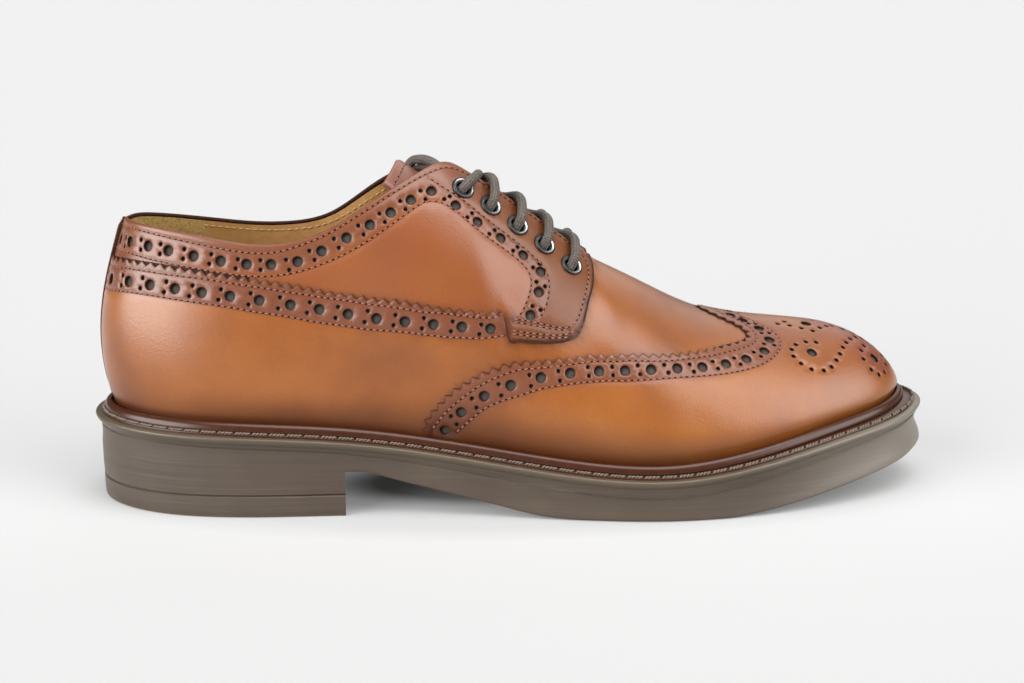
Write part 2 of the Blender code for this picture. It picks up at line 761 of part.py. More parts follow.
# Tongue: a bent leaf under the lace gap, sewn in under the vamp.
line_at = np.arange(len(TONGUE))
tongue_line = [spline(line_at, column(TONGUE, TONGUE_COLUMNS, n)) for n in ("x", "y", "z")]
tongue_half = spline(line_at, column(TONGUE, TONGUE_COLUMNS, "half"))
tongue_points = []
for u in np.linspace(0, len(TONGUE) - 1, TONGUE_STEPS + 1):
    here = np.array([float(curve(u)) for curve in tongue_line])
    way = np.array([float(curve(u + 0.01) - curve(u - 0.01)) for curve in tongue_line])
    square = np.array([-way[2], 0.0, way[0]])
    square /= np.linalg.norm(square)
    for share in np.linspace(-1, 1, TONGUE_ACROSS + 1):
        y = share * float(tongue_half(u))
        sag = y * y / (2 * TONGUE_BEND_RADIUS)
        tongue_points.append(here + np.array([0.0, y, 0.0]) - square * sag)
tongue_faces = []
for i in range(TONGUE_STEPS):
    for j in range(TONGUE_ACROSS):
        a = i * (TONGUE_ACROSS + 1) + j
        b = a + TONGUE_ACROSS + 1
        tongue_faces.append((a, b, b + 1, a + 1))
tongue = dress(make_mesh("tongue", tongue_points, tongue_faces), TAN, 0.5)
thicken = tongue.modifiers.new("leaf", "SOLIDIFY")
thicken.thickness = TONGUE_THICK * MM
thicken.offset = -1.0
thicken.use_even_offset = True

# Eyelets: a turned ring, with a flange on the leather and a barrel through it.
ring = [(i, (i + 1) % len(EYELET_SECTION)) for i in range(len(EYELET_SECTION))]
section = [(radius * MM, 0.0, height * MM) for radius, height in EYELET_SECTION]
for (side_name, number), (spot, square) in eyelets.items():
    name = f"eyelet_{side_name}_{number}"
    mesh = bpy.data.meshes.new(name)
    mesh.from_pydata(section, ring, [])
    eyelet = dress(bpy.data.objects.new(name, mesh), METAL, 0.3, 1.0)
    eyelet.matrix_world = stand_on(spot, square)
    turned = eyelet.modifiers.new("turned", "SCREW")
    turned.steps = RING_SIDES
    turned.render_steps = RING_SIDES
    turned.use_smooth_shade = True


# Lace: from each eyelet but the top pair a run goes over the edge and across the gap, and the two
# runs of a pair join where they cross.
def lace_run(side, far_side, number):
    """A run from over an eyelet, over the edge beside it, to the far edge one eyelet higher up."""
    spot, square = eyelets[side, number]
    x = EYELETS[number - 1][0]
    near_edge, near_way = surface_point(side, station_at(side, x + LACE_AHEAD), 0.0)
    far_edge, far_way = surface_point(far_side, station_at(far_side, x - LACE_BEYOND), 0.0)
    to_edge = near_edge - spot
    to_edge /= np.linalg.norm(to_edge)
    over = near_way * (LACE_R + LACE_OFF_EDGE)
    inward = np.array([0.0, math.copysign(1.0, near_edge[1] - far_edge[1]), 0.0])
    stops = [
        spot + square * (GAP + EYELET_HIGH + LACE_OFF_EYELET),
        spot + square * (LACE_R + LACE_OFF_LEATHER) + to_edge * LACE_OFF_LEATHER,
        near_edge + over - to_edge * LACE_ARCH,
        near_edge + over + to_edge * LACE_ARCH,
        (near_edge + far_edge) / 2 + near_way * LACE_OFF_EDGE,
        far_edge + inward * (LACE_R + LACE_OFF_EDGE) - far_way * LACE_SINK,
    ]
    return smooth_path(stops, LACE_STEPS + 1)


for number in range(2, len(EYELETS) + 1):
    name = f"lace_crossing_{number - 1}"
    crossing = dress(cord(name, lace_run("outer", "inner", number), LACE_R), CORD, 0.7)
    under = cord(name + "_under", lace_run("inner", "outer", number), LACE_R)
    join(crossing, under)

# The two ends lie side by side across the top of the tongue, tucked in under the facings.
bar_path = smooth_path(LACE_BAR, LACE_BAR_STEPS + 1)
lace_bar = dress(cord("lace_bar", bar_path, LACE_R), CORD, 0.7)
second = cord("lace_bar_second", bar_path + np.array(LACE_BAR_STEP), LACE_R)
join(lace_bar, second)
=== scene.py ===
# Tan wing-tip derby shoe for the right foot: leather, stitching, punching, lace and sole round the frame.
# Lengths are millimetres, measured from the back of the heel, until toMetres turns them to the frame.
import math

import bmesh
import bpy
import numpy as np
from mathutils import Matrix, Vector
from mathutils.geometry import delaunay_2d_cdt
from mathutils.kdtree import KDTree


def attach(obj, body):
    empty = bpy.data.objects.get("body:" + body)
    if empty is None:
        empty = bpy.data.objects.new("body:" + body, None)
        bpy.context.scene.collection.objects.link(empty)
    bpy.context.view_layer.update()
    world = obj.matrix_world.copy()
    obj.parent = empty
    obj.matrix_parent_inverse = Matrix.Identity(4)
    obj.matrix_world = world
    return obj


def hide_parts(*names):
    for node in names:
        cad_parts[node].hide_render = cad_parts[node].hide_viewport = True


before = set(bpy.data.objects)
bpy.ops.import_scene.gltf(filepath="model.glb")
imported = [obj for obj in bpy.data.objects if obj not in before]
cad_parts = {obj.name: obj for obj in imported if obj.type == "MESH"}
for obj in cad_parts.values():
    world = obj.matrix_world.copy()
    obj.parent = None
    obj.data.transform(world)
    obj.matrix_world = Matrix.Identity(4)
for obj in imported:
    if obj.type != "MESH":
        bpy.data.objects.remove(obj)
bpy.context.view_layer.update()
print("frame loaded:", len(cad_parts), "nodes")

# camera: where it stands, what it looks at, and its lens
view = {
    "place": (112.15, -582.31, 191.75),
    "target": (151.85, 0.0, 52.7),
    "lens": 57.3,
}

# the last: sole outline, heights along the sole, and how far the upper stands in from the rim
soleLength = 306.0
toeMiddle = 2.0
outlineRows = [  # x, outer, inner
    (12.0, -25.0, 25.5), (35.0, -37.0, 36.0), (70.0, -40.8, 36.8), (105.0, -41.0, 33.5),
    (140.0, -45.0, 33.0), (175.0, -51.6, 38.5), (205.0, -54.6, 46.5), (225.0, -52.6, 49.5),
    (250.0, -46.6, 47.6), (275.0, -36.0, 39.0), (293.0, -23.6, 27.0), (302.0, -11.6, 15.5),
]
rimRows = [  # x, top of the rim, thickness of the midsole
    (0.0, 31.2, 4.2), (30.0, 30.3, 4.2), (60.0, 29.2, 4.3), (90.0, 27.2, 4.4), (130.0, 22.0, 5.4),
    (170.0, 16.6, 6.2), (205.0, 15.2, 6.3), (235.0, 18.8, 5.8), (265.0, 24.4, 5.0),
    (290.0, 27.8, 4.2), (306.0, 29.7, 3.8),
]
treadRows = [  # x, underside of the outsole
    (0.0, 16.2), (93.0, 16.2), (113.0, 11.6), (140.0, 5.0), (162.0, 0.5), (172.0, 0.0), (224.0, 0.0),
    (234.0, 0.8), (250.0, 3.4), (275.0, 8.2), (295.0, 12.1), (306.0, 14.4),
]
featherRows = [  # x, set in
    (0.0, 6.8), (60.0, 7.2), (150.0, 7.6), (230.0, 8.2), (290.0, 9.4), (306.0, 9.8),
]
ribNames = ("s", "xe", "ye", "ze", "lean", "rise", "low", "high")
outerRibs = [  # one row a station, back seam to toe: foot, top edge, slopes and fullness
    (0.000, 13.2, 0.0, 100.6, 15.0, 74.0, 0.43, 0.30),
    (0.095, 16.0, -8.6, 100.6, 14.0, 75.0, 0.42, 0.30),
    (0.150, 22.0, -15.6, 100.0, 12.0, 77.0, 0.37, 0.31),
    (0.200, 31.0, -20.8, 98.9, 10.5, 79.0, 0.36, 0.32),
    (0.245, 43.0, -24.8, 97.2, 9.5, 80.0, 0.35, 0.33),
    (0.290, 56.0, -27.3, 95.0, 9.0, 80.0, 0.35, 0.34),
    (0.332, 70.0, -28.4, 94.6, 8.0, 78.0, 0.35, 0.35),
    (0.364, 84.0, -28.0, 98.2, 7.5, 74.0, 0.36, 0.36),
    (0.388, 96.0, -25.9, 104.9, 7.0, 68.0, 0.37, 0.37),
    (0.410, 107.0, -22.4, 111.6, 7.0, 60.0, 0.38, 0.37),
    (0.428, 116.0, -18.6, 116.8, 7.0, 54.0, 0.38, 0.37),
    (0.444, 123.0, -14.8, 120.2, 7.0, 49.0, 0.38, 0.37),
    (0.460, 129.0, -11.4, 120.8, 7.0, 45.0, 0.38, 0.37),
    (0.476, 136.0, -9.8, 116.9, 7.0, 42.0, 0.38, 0.37),
    (0.494, 146.0, -9.2, 110.0, 7.0, 43.0, 0.38, 0.33),
    (0.514, 157.0, -8.6, 102.0, 7.0, 41.0, 0.37, 0.31),
    (0.533, 166.6, -8.1, 94.6, 7.0, 38.0, 0.36, 0.30),
    (0.548, 173.6, -7.6, 89.2, 7.0, 33.0, 0.35, 0.30),
    (0.561, 177.6, -5.9, 86.0, 7.0, 22.0, 0.34, 0.31),
    (0.574, 180.0, -2.2, 83.9, 7.0, 9.0, 0.33, 0.33),
    (0.590, 182.0, 1.6, 82.3, 7.0, 0.0, 0.32, 0.34),
    (0.622, 199.0, 1.9, 73.9, 7.0, 0.0, 0.31, 0.36),
    (0.660, 217.4, 2.2, 65.0, 7.0, 0.0, 0.30, 0.39),
    (0.704, 234.0, 2.4, 60.6, 6.0, 0.0, 0.29, 0.40),
    (0.752, 246.0, 2.4, 59.2, 5.0, 0.0, 0.27, 0.41),
    (0.808, 255.0, 2.3, 58.4, 3.0, 0.0, 0.25, 0.41),
    (0.870, 260.0, 2.2, 57.9, 1.0, 0.0, 0.24, 0.43),
    (0.935, 262.6, 2.1, 57.6, -1.0, 0.0, 0.23, 0.43),
    (1.000, 263.6, 2.0, 57.5, -2.0, 0.0, 0.23, 0.43),
]
innerEdge = [  # the inner side's top edge and what else differs there: ye, ze, lean, low, high
    (0.0, 100.6, 15.0, 0.43, 0.30), (8.6, 100.6, 14.0, 0.42, 0.30), (15.6, 99.6, 12.0, 0.37, 0.31),
    (20.8, 98.0, 10.5, 0.36, 0.32), (24.8, 96.0, 9.5, 0.35, 0.33), (27.3, 94.2, 9.0, 0.35, 0.34),
    (28.4, 93.8, 8.0, 0.35, 0.35), (28.2, 96.4, 7.5, 0.36, 0.36), (26.6, 103.8, 8.0, 0.37, 0.37),
    (23.6, 111.8, 9.0, 0.38, 0.37), (20.4, 115.6, 10.0, 0.38, 0.37), (17.0, 117.0, 10.0, 0.38, 0.37),
    (14.2, 116.2, 10.0, 0.38, 0.37), (12.6, 112.8, 10.0, 0.38, 0.37), (12.0, 106.6, 9.0, 0.38, 0.33),
    (11.4, 100.0, 8.0, 0.37, 0.31), (10.9, 93.0, 7.0, 0.36, 0.30), (10.4, 88.0, 6.0, 0.36, 0.30),
    (8.9, 85.4, 6.0, 0.36, 0.31), (5.4, 83.7, 6.0, 0.36, 0.33), (1.6, 82.3, 6.0, 0.36, 0.36),
    (1.9, 73.9, 6.0, 0.35, 0.38), (2.2, 65.0, 6.0, 0.34, 0.40), (2.4, 60.6, 5.0, 0.32, 0.40),
    (2.4, 59.2, 4.0, 0.29, 0.41), (2.3, 58.4, 3.0, 0.26, 0.41), (2.2, 57.9, 1.0, 0.24, 0.43),
    (2.1, 57.6, -1.0, 0.23, 0.43), (2.0, 57.5, -2.0, 0.23, 0.43),
]
innerRibs = [
    (row[0], row[1], ye, ze, lean, row[5], low, high)
    for row, (ye, ze, lean, low, high) in zip(outerRibs, innerEdge)
]
sides = ("outer", "inner")
handOf = {"outer": 1.0, "inner": -1.0}  # turns normals outward on both sides
lastRow = len(outerRibs) - 1
throatRow = 14
ridgeRow = 20
lastedWall = 4.6
wallShare = 0.05  # shares below 0 run down the lasted wall to the foot of the rib
gap = 0.3


def naturalSpline(at, values):
    at, values = np.asarray(at, float), np.asarray(values, float)
    step, size = np.diff(at), len(at)
    system, right = np.eye(size), np.zeros(size)
    slope = np.diff(values) / step
    for i in range(1, size - 1):
        system[i, i - 1 : i + 2] = step[i - 1], 2 * (step[i - 1] + step[i]), step[i]
        right[i] = 6 * (slope[i] - slope[i - 1])
    bend = np.linalg.solve(system, right)

    def curve(t):
        t = np.asarray(t, float)
        k = np.clip(np.searchsorted(at, t, side="right") - 1, 0, size - 2)
        before, after, h = t - at[k], at[k + 1] - t, step[k]
        cubic = (bend[k] * after**3 + bend[k + 1] * before**3) / (6 * h)
        left = (values[k] / h - bend[k] * h / 6) * after
        return cubic + left + (values[k + 1] / h - bend[k + 1] * h / 6) * before

    return curve


def steadyCurve(at, values):  # never overshoots its values
    at, values = np.asarray(at, float), np.asarray(values, float)
    step = np.diff(at)
    slope = np.diff(values) / step
    tangent = np.zeros(len(at))
    for i in range(1, len(at) - 1):
        if slope[i - 1] * slope[i] > 0:
            a, b = 2 * step[i] + step[i - 1], step[i] + 2 * step[i - 1]
            tangent[i] = (a + b) / (a / slope[i - 1] + b / slope[i])
    tangent[0], tangent[-1] = slope[0], slope[-1]

    def curve(t):
        t = np.clip(np.asarray(t, float), at[0], at[-1])
        k = np.clip(np.searchsorted(at, t, side="right") - 1, 0, len(at) - 2)
        h = step[k]
        w = (t - at[k]) / h
        start = values[k] * (1 + 2 * w) * (1 - w) ** 2 + tangent[k] * h * w * (1 - w) ** 2
        return start + values[k + 1] * w**2 * (3 - 2 * w) + tangent[k + 1] * h * w**2 * (w - 1)

    return curve


def smoothStep(x):
    x = np.clip(x, 0.0, 1.0)
    return x * x * (3 - 2 * x)


def unit(v):
    return v / np.maximum(np.linalg.norm(v, axis=-1, keepdims=True), 1e-12)


def lengthTo(points):  # how far along a line each of its points is
    return np.concatenate([[0.0], np.cumsum(np.linalg.norm(np.diff(points, axis=0), axis=1))])


def roundTurn(count, first, second):  # unit directions round a circle
    angle = np.linspace(0, 2 * math.pi, count, endpoint=False)
    return np.cos(angle)[:, None] * first + np.sin(angle)[:, None] * second


def placeOnOutline(x):
    return np.arccos(np.clip(1 - 2 * np.asarray(x, float) / soleLength, -1, 1)) / math.pi


outlineTable = np.array(outlineRows)
outlineS = np.concatenate([[0.0], placeOnOutline(outlineTable[:, 0]), [1.0]])
sideCurve = {
    name: naturalSpline(outlineS, np.concatenate([[0.0], outlineTable[:, k], [toeMiddle]]))
    for k, name in enumerate(sides, start=1)
}
rimTable, treadTable, featherTable = np.array(rimRows), np.array(treadRows), np.array(featherRows)
rimTop = naturalSpline(rimTable[:, 0], rimTable[:, 1])
midsoleThick = naturalSpline(rimTable[:, 0], rimTable[:, 2])
treadZ = steadyCurve(treadTable[:, 0], treadTable[:, 1])
feather = steadyCurve(featherTable[:, 0], featherTable[:, 1])
edgeY = [sideCurve[n](np.linspace(0, 1, 400)) for n in sides]
frameMiddle = np.array([soleLength / 2, (edgeY[0].min() + edgeY[1].max()) / 2, 0.0])


def toMetres(points):
    return (np.asarray(points, float) - frameMiddle) * 0.001


def outlinePoint(side, s):
    x = soleLength * (1 - np.cos(math.pi * np.asarray(s, float))) / 2
    return np.stack([x, sideCurve[side](s)], axis=-1)


def outwardAt(side, s):
    s = np.asarray(s, float)
    ahead, behind = np.minimum(s + 1e-4, 1.0), np.maximum(s - 1e-4, 0.0)
    along = unit(outlinePoint(side, ahead) - outlinePoint(side, behind))
    out = np.stack([along[..., 1], -along[..., 0]], axis=-1) * handOf[side]
    ends = np.isclose(s, 0.0) | np.isclose(s, 1.0)
    tip = np.stack([np.where(s < 0.5, -1.0, 1.0), np.zeros_like(s)], axis=-1)
    return np.where(ends[..., None], tip, out)


ribCurve = {}
for sideName, rows in (("outer", outerRibs), ("inner", innerRibs)):
    table = np.array(rows)
    stations = np.arange(len(rows))
    ribCurve[sideName] = {n: naturalSpline(stations, table[:, k]) for k, n in enumerate(ribNames)}


def ridgePoint(u):
    return np.mean([[float(ribCurve[n][c](u)) for c in ("xe", "ye", "ze")] for n in sides], axis=0)


def ribAt(side, u):
    value = {name: float(curve(u)) for name, curve in ribCurve[side].items()}
    s = min(max(value["s"], 0.0), 1.0)
    edge = ridgePoint(u) if u >= ridgeRow - 1e-9 else np.array([value["xe"], value["ye"], value["ze"]])
    flat, out = outlinePoint(side, s), outwardAt(side, np.array(s))
    flat = flat - out * float(feather(flat[0]))
    foot = np.array([flat[0], flat[1], float(rimTop(flat[0])) + gap])
    wall = foot + np.array([0.0, 0.0, lastedWall])
    lean = math.radians(value["lean"])
    start = np.array([out[0] * math.sin(lean), out[1] * math.sin(lean), math.cos(lean)])
    level = unit(edge[:2] - wall[:2])
    ahead = min(max(u, ridgeRow) + 1e-3, lastRow)
    run = ridgePoint(ahead) - ridgePoint(ahead - 1e-3)
    ease = min(max((u - throatRow) / (ridgeRow - throatRow), 0.0), 1.0)
    fall = run[2] / run[0] * ease * ease * (3 - 2 * ease)
    end = unit(np.array([level[0], level[1], math.tan(math.radians(value["rise"])) + fall * level[0]]))
    length = np.linalg.norm(edge - wall)
    low, high = wall + start * value["low"] * length, edge - end * value["high"] * length
    return np.array([foot, wall, low, high, edge])


finePerRow = 20
fineRows = np.linspace(0, lastRow, lastRow * finePerRow + 1)
ribTable = {n: np.array([ribAt(n, u) for u in fineRows]) for n in sides}
for end in (0, -1):  # both sides share the back seam and the middle of the toe
    ribTable["inner"][end] = ribTable["outer"][end]


def skin(side, u, t):
    place = np.clip(np.asarray(u, float), 0, lastRow) * finePerRow
    first = np.minimum(place.astype(int), len(fineRows) - 2)
    part = (place - first)[..., None, None]
    rib = ribTable[side][first] * (1 - part) + ribTable[side][first + 1] * part
    foot, wall, low, high, edge = np.moveaxis(rib, -2, 0)
    t = np.asarray(t, float)[..., None]
    curve = wall * (1 - t) ** 3 + low * 3 * t * (1 - t) ** 2 + high * 3 * t**2 * (1 - t) + edge * t**3
    return np.where(t < 0, wall + (foot - wall) * (-t / wallShare), curve)


def oneSideNormal(side, u, t):
    nextU, lastU = (np.clip(u + step, 0, lastRow) for step in (0.03, -0.03))
    nextT, lastT = (np.clip(t + step, -wallShare, 1) for step in (0.005, -0.005))
    du = skin(side, nextU, t) - skin(side, lastU, t)
    dt = skin(side, u, nextT) - skin(side, u, lastT)
    return unit(np.cross(du, dt)) * handOf[side]


def skinNormal(side, u, t):
    u, t = np.asarray(u, float), np.asarray(t, float)
    normal = oneSideNormal(side, u, t)
    other = oneSideNormal("inner" if side == "outer" else "outer", u, t)
    onRidge = (t > 1 - 1e-6) & (u >= ridgeRow - 1e-6)
    normal = np.where(onRidge[..., None], normal + other, normal)
    onSeam = (u < 1e-6) | (u > lastRow - 1e-6)
    normal = np.where(onSeam[..., None], normal * np.array([1.0, 0.0, 1.0]), normal)
    return unit(normal)


def lifted(side, u, t, lift):
    return skin(side, u, t) + skinNormal(side, u, t) * np.asarray(lift, float)[..., None]


# a flat map of one side, in about millimetres, for cutting panels: across is along the shoe, up is up a rib
middle = skin("outer", fineRows, np.full(len(fineRows), 0.5))
acrossTable = lengthTo(middle)
upScale = 82.0


def toFlat(u, t):
    return np.stack([np.interp(u, fineRows, acrossTable), np.asarray(t, float) * upScale], axis=-1)


def fromFlat(flat):
    return np.interp(flat[..., 0], acrossTable, fineRows), flat[..., 1] / upScale


def flatStep(side, flat, way):  # the step on the map that moves a point of the skin by way
    def on(f):
        return skin(side, *fromFlat(f))

    h = 0.2
    a = (on(flat + [h, 0]) - on(flat - [h, 0])) / (2 * h)
    b = (on(flat + [0, h]) - on(flat - [0, h])) / (2 * h)
    aa, ab, bb = (a * a).sum(-1), (a * b).sum(-1), (b * b).sum(-1)
    av, bv = (a * way).sum(-1), (b * way).sum(-1)
    det = np.maximum(aa * bb - ab * ab, 1e-9)
    return np.stack([(av * bb - bv * ab) / det, (bv * aa - av * ab) / det], axis=-1)


def traceRow(side, stops, spacing):  # even points on a smooth line through (station, share) stops, on the map
    flat = toFlat(*np.array(stops, float).T)
    run = lengthTo(flat)
    dense = np.linspace(0, run[-1], 1500)
    line = np.column_stack([naturalSpline(run, flat[:, k])(dense) for k in (0, 1)])
    line[:, 1] = np.clip(line[:, 1], -wallShare * upScale, upScale)
    solid = skin(side, *fromFlat(line))
    length = lengthTo(solid)
    even = np.linspace(0, length[-1], max(2, int(round(length[-1] / spacing)) + 1))
    return np.column_stack([np.interp(even, length, line[:, k]) for k in (0, 1)])


def sideways(side, line):  # unit directions on the skin square to a line, to its left on the map
    solid = skin(side, *fromFlat(line))
    along = unit(np.gradient(solid, axis=0))
    normal = skinNormal(side, *fromFlat(line))
    left = np.cross(normal, along) * handOf[side]
    return unit(left)


def shifted(side, line, distance):
    distance = np.broadcast_to(np.asarray(distance, float), (len(line),))
    moved = line + flatStep(side, line, sideways(side, line) * distance[:, None])
    moved[:, 1] = np.clip(moved[:, 1], -wallShare * upScale, upScale)
    return moved


def pinked(side, stops, pitch, depth):  # a zigzag edge: tips lie to the left of the line
    line = traceRow(side, stops, pitch / 4)
    wave = np.array([0.0, 0.5, 1.0, 0.5])[np.arange(len(line)) % 4] * depth
    wave[0] = wave[-1] = 0.0
    inner = slice(1, -1)
    line[inner] = shifted(side, line, wave)[inner]
    return line


def circleOn(side, spot, radius, count):
    flat = toFlat(*np.array([spot], float).T)
    normal = skinNormal(side, *fromFlat(flat))[0]
    first = unit(np.cross(normal, [0.0, 0.0, 1.0]))
    second = np.cross(normal, first)
    way = radius * roundTurn(count, first, second)
    return flat + flatStep(side, np.repeat(flat, count, axis=0), way)


def insideLoop(points, loop):
    inside = np.zeros(len(points), bool)
    x, y = points[:, 0], points[:, 1]
    for (x0, y0), (x1, y1) in zip(loop, np.roll(loop, -1, axis=0)):
        if y0 == y1:
            continue
        crosses = (y0 > y) != (y1 > y)
        inside ^= crosses & (x < (x1 - x0) * (y - y0) / (y1 - y0) + x0)
    return inside


def distanceTo(points, cloud):
    tree = KDTree(len(cloud))
    for i, (x, y) in enumerate(cloud):
        tree.insert((x, y, 0.0), i)
    tree.balance()
    return np.array([tree.find((x, y, 0.0))[2] for x, y in points])


def denser(loop, spacing):
    out = []
    for a, b in zip(loop, np.roll(loop, -1, axis=0)):
        parts = max(1, int(np.linalg.norm(b - a) / spacing))
        out.append(a + (b - a) * np.linspace(0, 1, parts, endpoint=False)[:, None])
    return np.vstack(out)


print("last shaped")


# pieces and materials
def linear(code):
    parts = [int(code[i : i + 2], 16) / 255 for i in (1, 3, 5)]
    return tuple(p / 12.92 if p <= 0.04045 else ((p + 0.055) / 1.055) ** 2.4 for p in parts) + (1.0,)


def addNode(tree, kind, settings=None, links=None):  # sockets go by name, or by number where names repeat
    node = tree.nodes.new(kind)
    for name, value in (settings or {}).items():
        if name == "stops":  # of a colour ramp
            band = node.color_ramp.elements
            while len(band) < len(value):
                band.new(0.5)
            for element, (place, colour) in zip(band, value):
                element.position = place
                element.color = linear(colour) if isinstance(colour, str) else (colour, colour, colour, 1.0)
        elif isinstance(name, int) or name in node.inputs:
            node.inputs[name].default_value = value
        else:
            setattr(node, name, value)
    for name, source in (links or {}).items():
        tree.links.new(source, node.inputs[name])
    return node


def newMaterial(name, colour, roughness, **more):
    material = bpy.data.materials.new(name)
    material.use_nodes = True
    shader = material.node_tree.nodes["Principled BSDF"]
    shader.inputs["Base Color"].default_value = linear(colour)
    shader.inputs["Roughness"].default_value = roughness
    for socket, value in more.items():
        shader.inputs[socket].default_value = value
    return material, material.node_tree, shader


sharpAngle = 45.0


def addPiece(
    name, points, faces, materials, slotName, replaces=(), indices=None, attributes=None, sharp=sharpAngle
):
    mesh = bpy.data.meshes.new(name)
    mesh.from_pydata(toMetres(points).tolist(), [], faces)
    for material in materials:
        mesh.materials.append(material)
    if indices is not None:
        mesh.polygons.foreach_set("material_index", np.asarray(indices, np.int32))
    for key, values in (attributes or {}).items():
        layer = mesh.attributes.new(key, "FLOAT", "POINT")
        layer.data.foreach_set("value", np.asarray(values, np.float32))
    mesh.shade_smooth()
    mesh.set_sharp_from_angle(angle=math.radians(sharp))
    piece = bpy.data.objects.new(name, mesh)
    bpy.context.scene.collection.objects.link(piece)
    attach(piece, "root")
    if replaces:
        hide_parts(*replaces)
    return piece


def cleanPiece(piece, distance):  # welds the two halves along their seams
    build = bmesh.new()
    build.from_mesh(piece.data)
    bmesh.ops.remove_doubles(build, verts=build.verts, dist=distance * 0.001)
    build.to_mesh(piece.data)
    build.free()
    piece.data.set_sharp_from_angle(angle=math.radians(sharpAngle))


class Heap:  # many small things gathered into one mesh
    def __init__(self):
        self.points, self.faces, self.indices, self.count = [], [], [], 0

    def add(self, points, faces, index=0):  # index: one material for all the faces, or a list
        self.points.append(np.asarray(points, float))
        self.faces.extend(tuple(i + self.count for i in face) for face in faces)
        self.indices.extend(index if isinstance(index, list) else [index] * len(faces))
        self.count += len(points)

    def piece(self, name, materials, slotName, **more):
        points = np.vstack(self.points)
        return addPiece(name, points, self.faces, materials, slotName, indices=self.indices, **more)


mixShare, mixUnder, mixOver, mixResult = 0, 6, 7, 2  # the colour sockets of a mix node

# calf leather, dyed tan, burnished darker at seams and welt, with painted shade along the welt and under
# overlapping edges in the same dark, waxed: satin sheen over a very fine grain
leather = {
    "light": "#8B511B",
    "mid": "#824713",
    "deep": "#713B10",
    "band": "#66351D",
    # one dark for both the burnish and the painted shade
    "burnish": "#301105",
    "toe": "#71361A",
    "roughness": 0.5,
    "uneven": 0.06,  # how far the roughness wanders either way
    "specular": 0.12,
    "coatRoughness": 0.3,
    "grain": 0.7,  # mm between pores, drawn coarser than life so that it shows
}


def makeLeather(name):
    material, tree, shader = newMaterial(name, leather["mid"], leather["roughness"])
    shader.inputs["Coat Roughness"].default_value = leather["coatRoughness"]
    shader.inputs["Specular IOR Level"].default_value = leather["specular"]
    spot = addNode(tree, "ShaderNodeTexCoord").outputs["Object"]
    cloud, fine, dents = (
        addNode(tree, "ShaderNodeTexNoise", settings, {"Vector": spot}).outputs["Fac"]
        for settings in (
            {"Scale": 24.0, "Detail": 3.0, "Roughness": 0.55},  # dye clouds, 42 mm
            {"Scale": 900.0, "Detail": 2.0},  # mottle, 1.1 mm
            {"Scale": 120.0, "Detail": 3.0},  # dents, 8 mm
        )
    )
    dye = [(0.32, leather["deep"]), (0.5, leather["mid"]), (0.7, leather["light"])]
    colour = addNode(tree, "ShaderNodeValToRGB", {"stops": dye}, {"Fac": cloud}).outputs["Color"]
    for key in ("band", "toe", "burnish"):
        share = addNode(tree, "ShaderNodeAttribute", {"attribute_name": key}).outputs["Fac"]
        colour = addNode(
            tree,
            "ShaderNodeMix",
            {"data_type": "RGBA", mixOver: linear(leather[key])},
            {mixShare: share, mixUnder: colour},
        ).outputs[mixResult]
    mottle = addNode(tree, "ShaderNodeValToRGB", {"stops": [(0.3, 0.92), (0.7, 1.0)]}, {"Fac": fine})
    colour = addNode(
        tree,
        "ShaderNodeMix",
        {"data_type": "RGBA", "blend_type": "MULTIPLY", mixShare: 1.0},
        {mixUnder: colour, mixOver: mottle.outputs["Color"]},
    ).outputs[mixResult]
    tree.links.new(colour, shader.inputs["Base Color"])
    # share is the burnish and painted shade here: less wax where the leather is darkened
    wax = addNode(tree, "ShaderNodeMapRange", {"To Min": 1.0, "To Max": 0.2}, {"Value": share})
    tree.links.new(wax.outputs["Result"], shader.inputs["Coat Weight"])
    pores = addNode(
        tree, "ShaderNodeTexVoronoi", {"Scale": 1000.0 / leather["grain"], "feature": "F1"}, {"Vector": spot}
    )
    low, high = (leather["roughness"] + way * leather["uneven"] for way in (-1, 1))
    wander = {"From Min": 0.3, "From Max": 0.7, "To Min": low, "To Max": high}
    rough = addNode(tree, "ShaderNodeMapRange", wander, {"Value": dents})
    tree.links.new(rough.outputs["Result"], shader.inputs["Roughness"])
    soft = addNode(tree, "ShaderNodeBump", {"Strength": 0.07, "Distance": 0.0006}, {"Height": dents})
    bump = addNode(
        tree,
        "ShaderNodeBump",
        {"Strength": 0.22, "Distance": 0.00014},
        {"Height": pores.outputs["Distance"], "Normal": soft.outputs["Normal"]},
    )
    for socket in ("Normal", "Coat Normal"):
        tree.links.new(bump.outputs["Normal"], shader.inputs[socket])
    return material


tanCalf = makeLeather("tanCalf")


# a plain material with a fine mottle and relief, darker by the shade attribute where one is given
def makeGrained(name, colours, roughness, spotMm, depthMm, shade=None, **more):
    material, tree, shader = newMaterial(name, colours[0], roughness, **more)
    spot = addNode(tree, "ShaderNodeTexCoord").outputs["Object"]
    noise = addNode(
        tree, "ShaderNodeTexNoise", {"Scale": 1000.0 / spotMm, "Detail": 4.0}, {"Vector": spot}
    ).outputs["Fac"]
    shades = [(0.3 + 0.4 * i / (len(colours) - 1), c) for i, c in enumerate(colours)]
    colour = addNode(tree, "ShaderNodeValToRGB", {"stops": shades}, {"Fac": noise}).outputs["Color"]
    if shade:
        dirt = addNode(tree, "ShaderNodeAttribute", {"attribute_name": "shade"}).outputs["Fac"]
        colour = addNode(
            tree,
            "ShaderNodeMix",
            {"data_type": "RGBA", mixOver: linear(shade)},
            {mixShare: dirt, mixUnder: colour},
        ).outputs[mixResult]
    tree.links.new(colour, shader.inputs["Base Color"])
    bump = addNode(tree, "ShaderNodeBump", {"Strength": 0.5, "Distance": depthMm * 0.001}, {"Height": noise})
    tree.links.new(bump.outputs["Normal"], shader.inputs["Normal"])
    return material


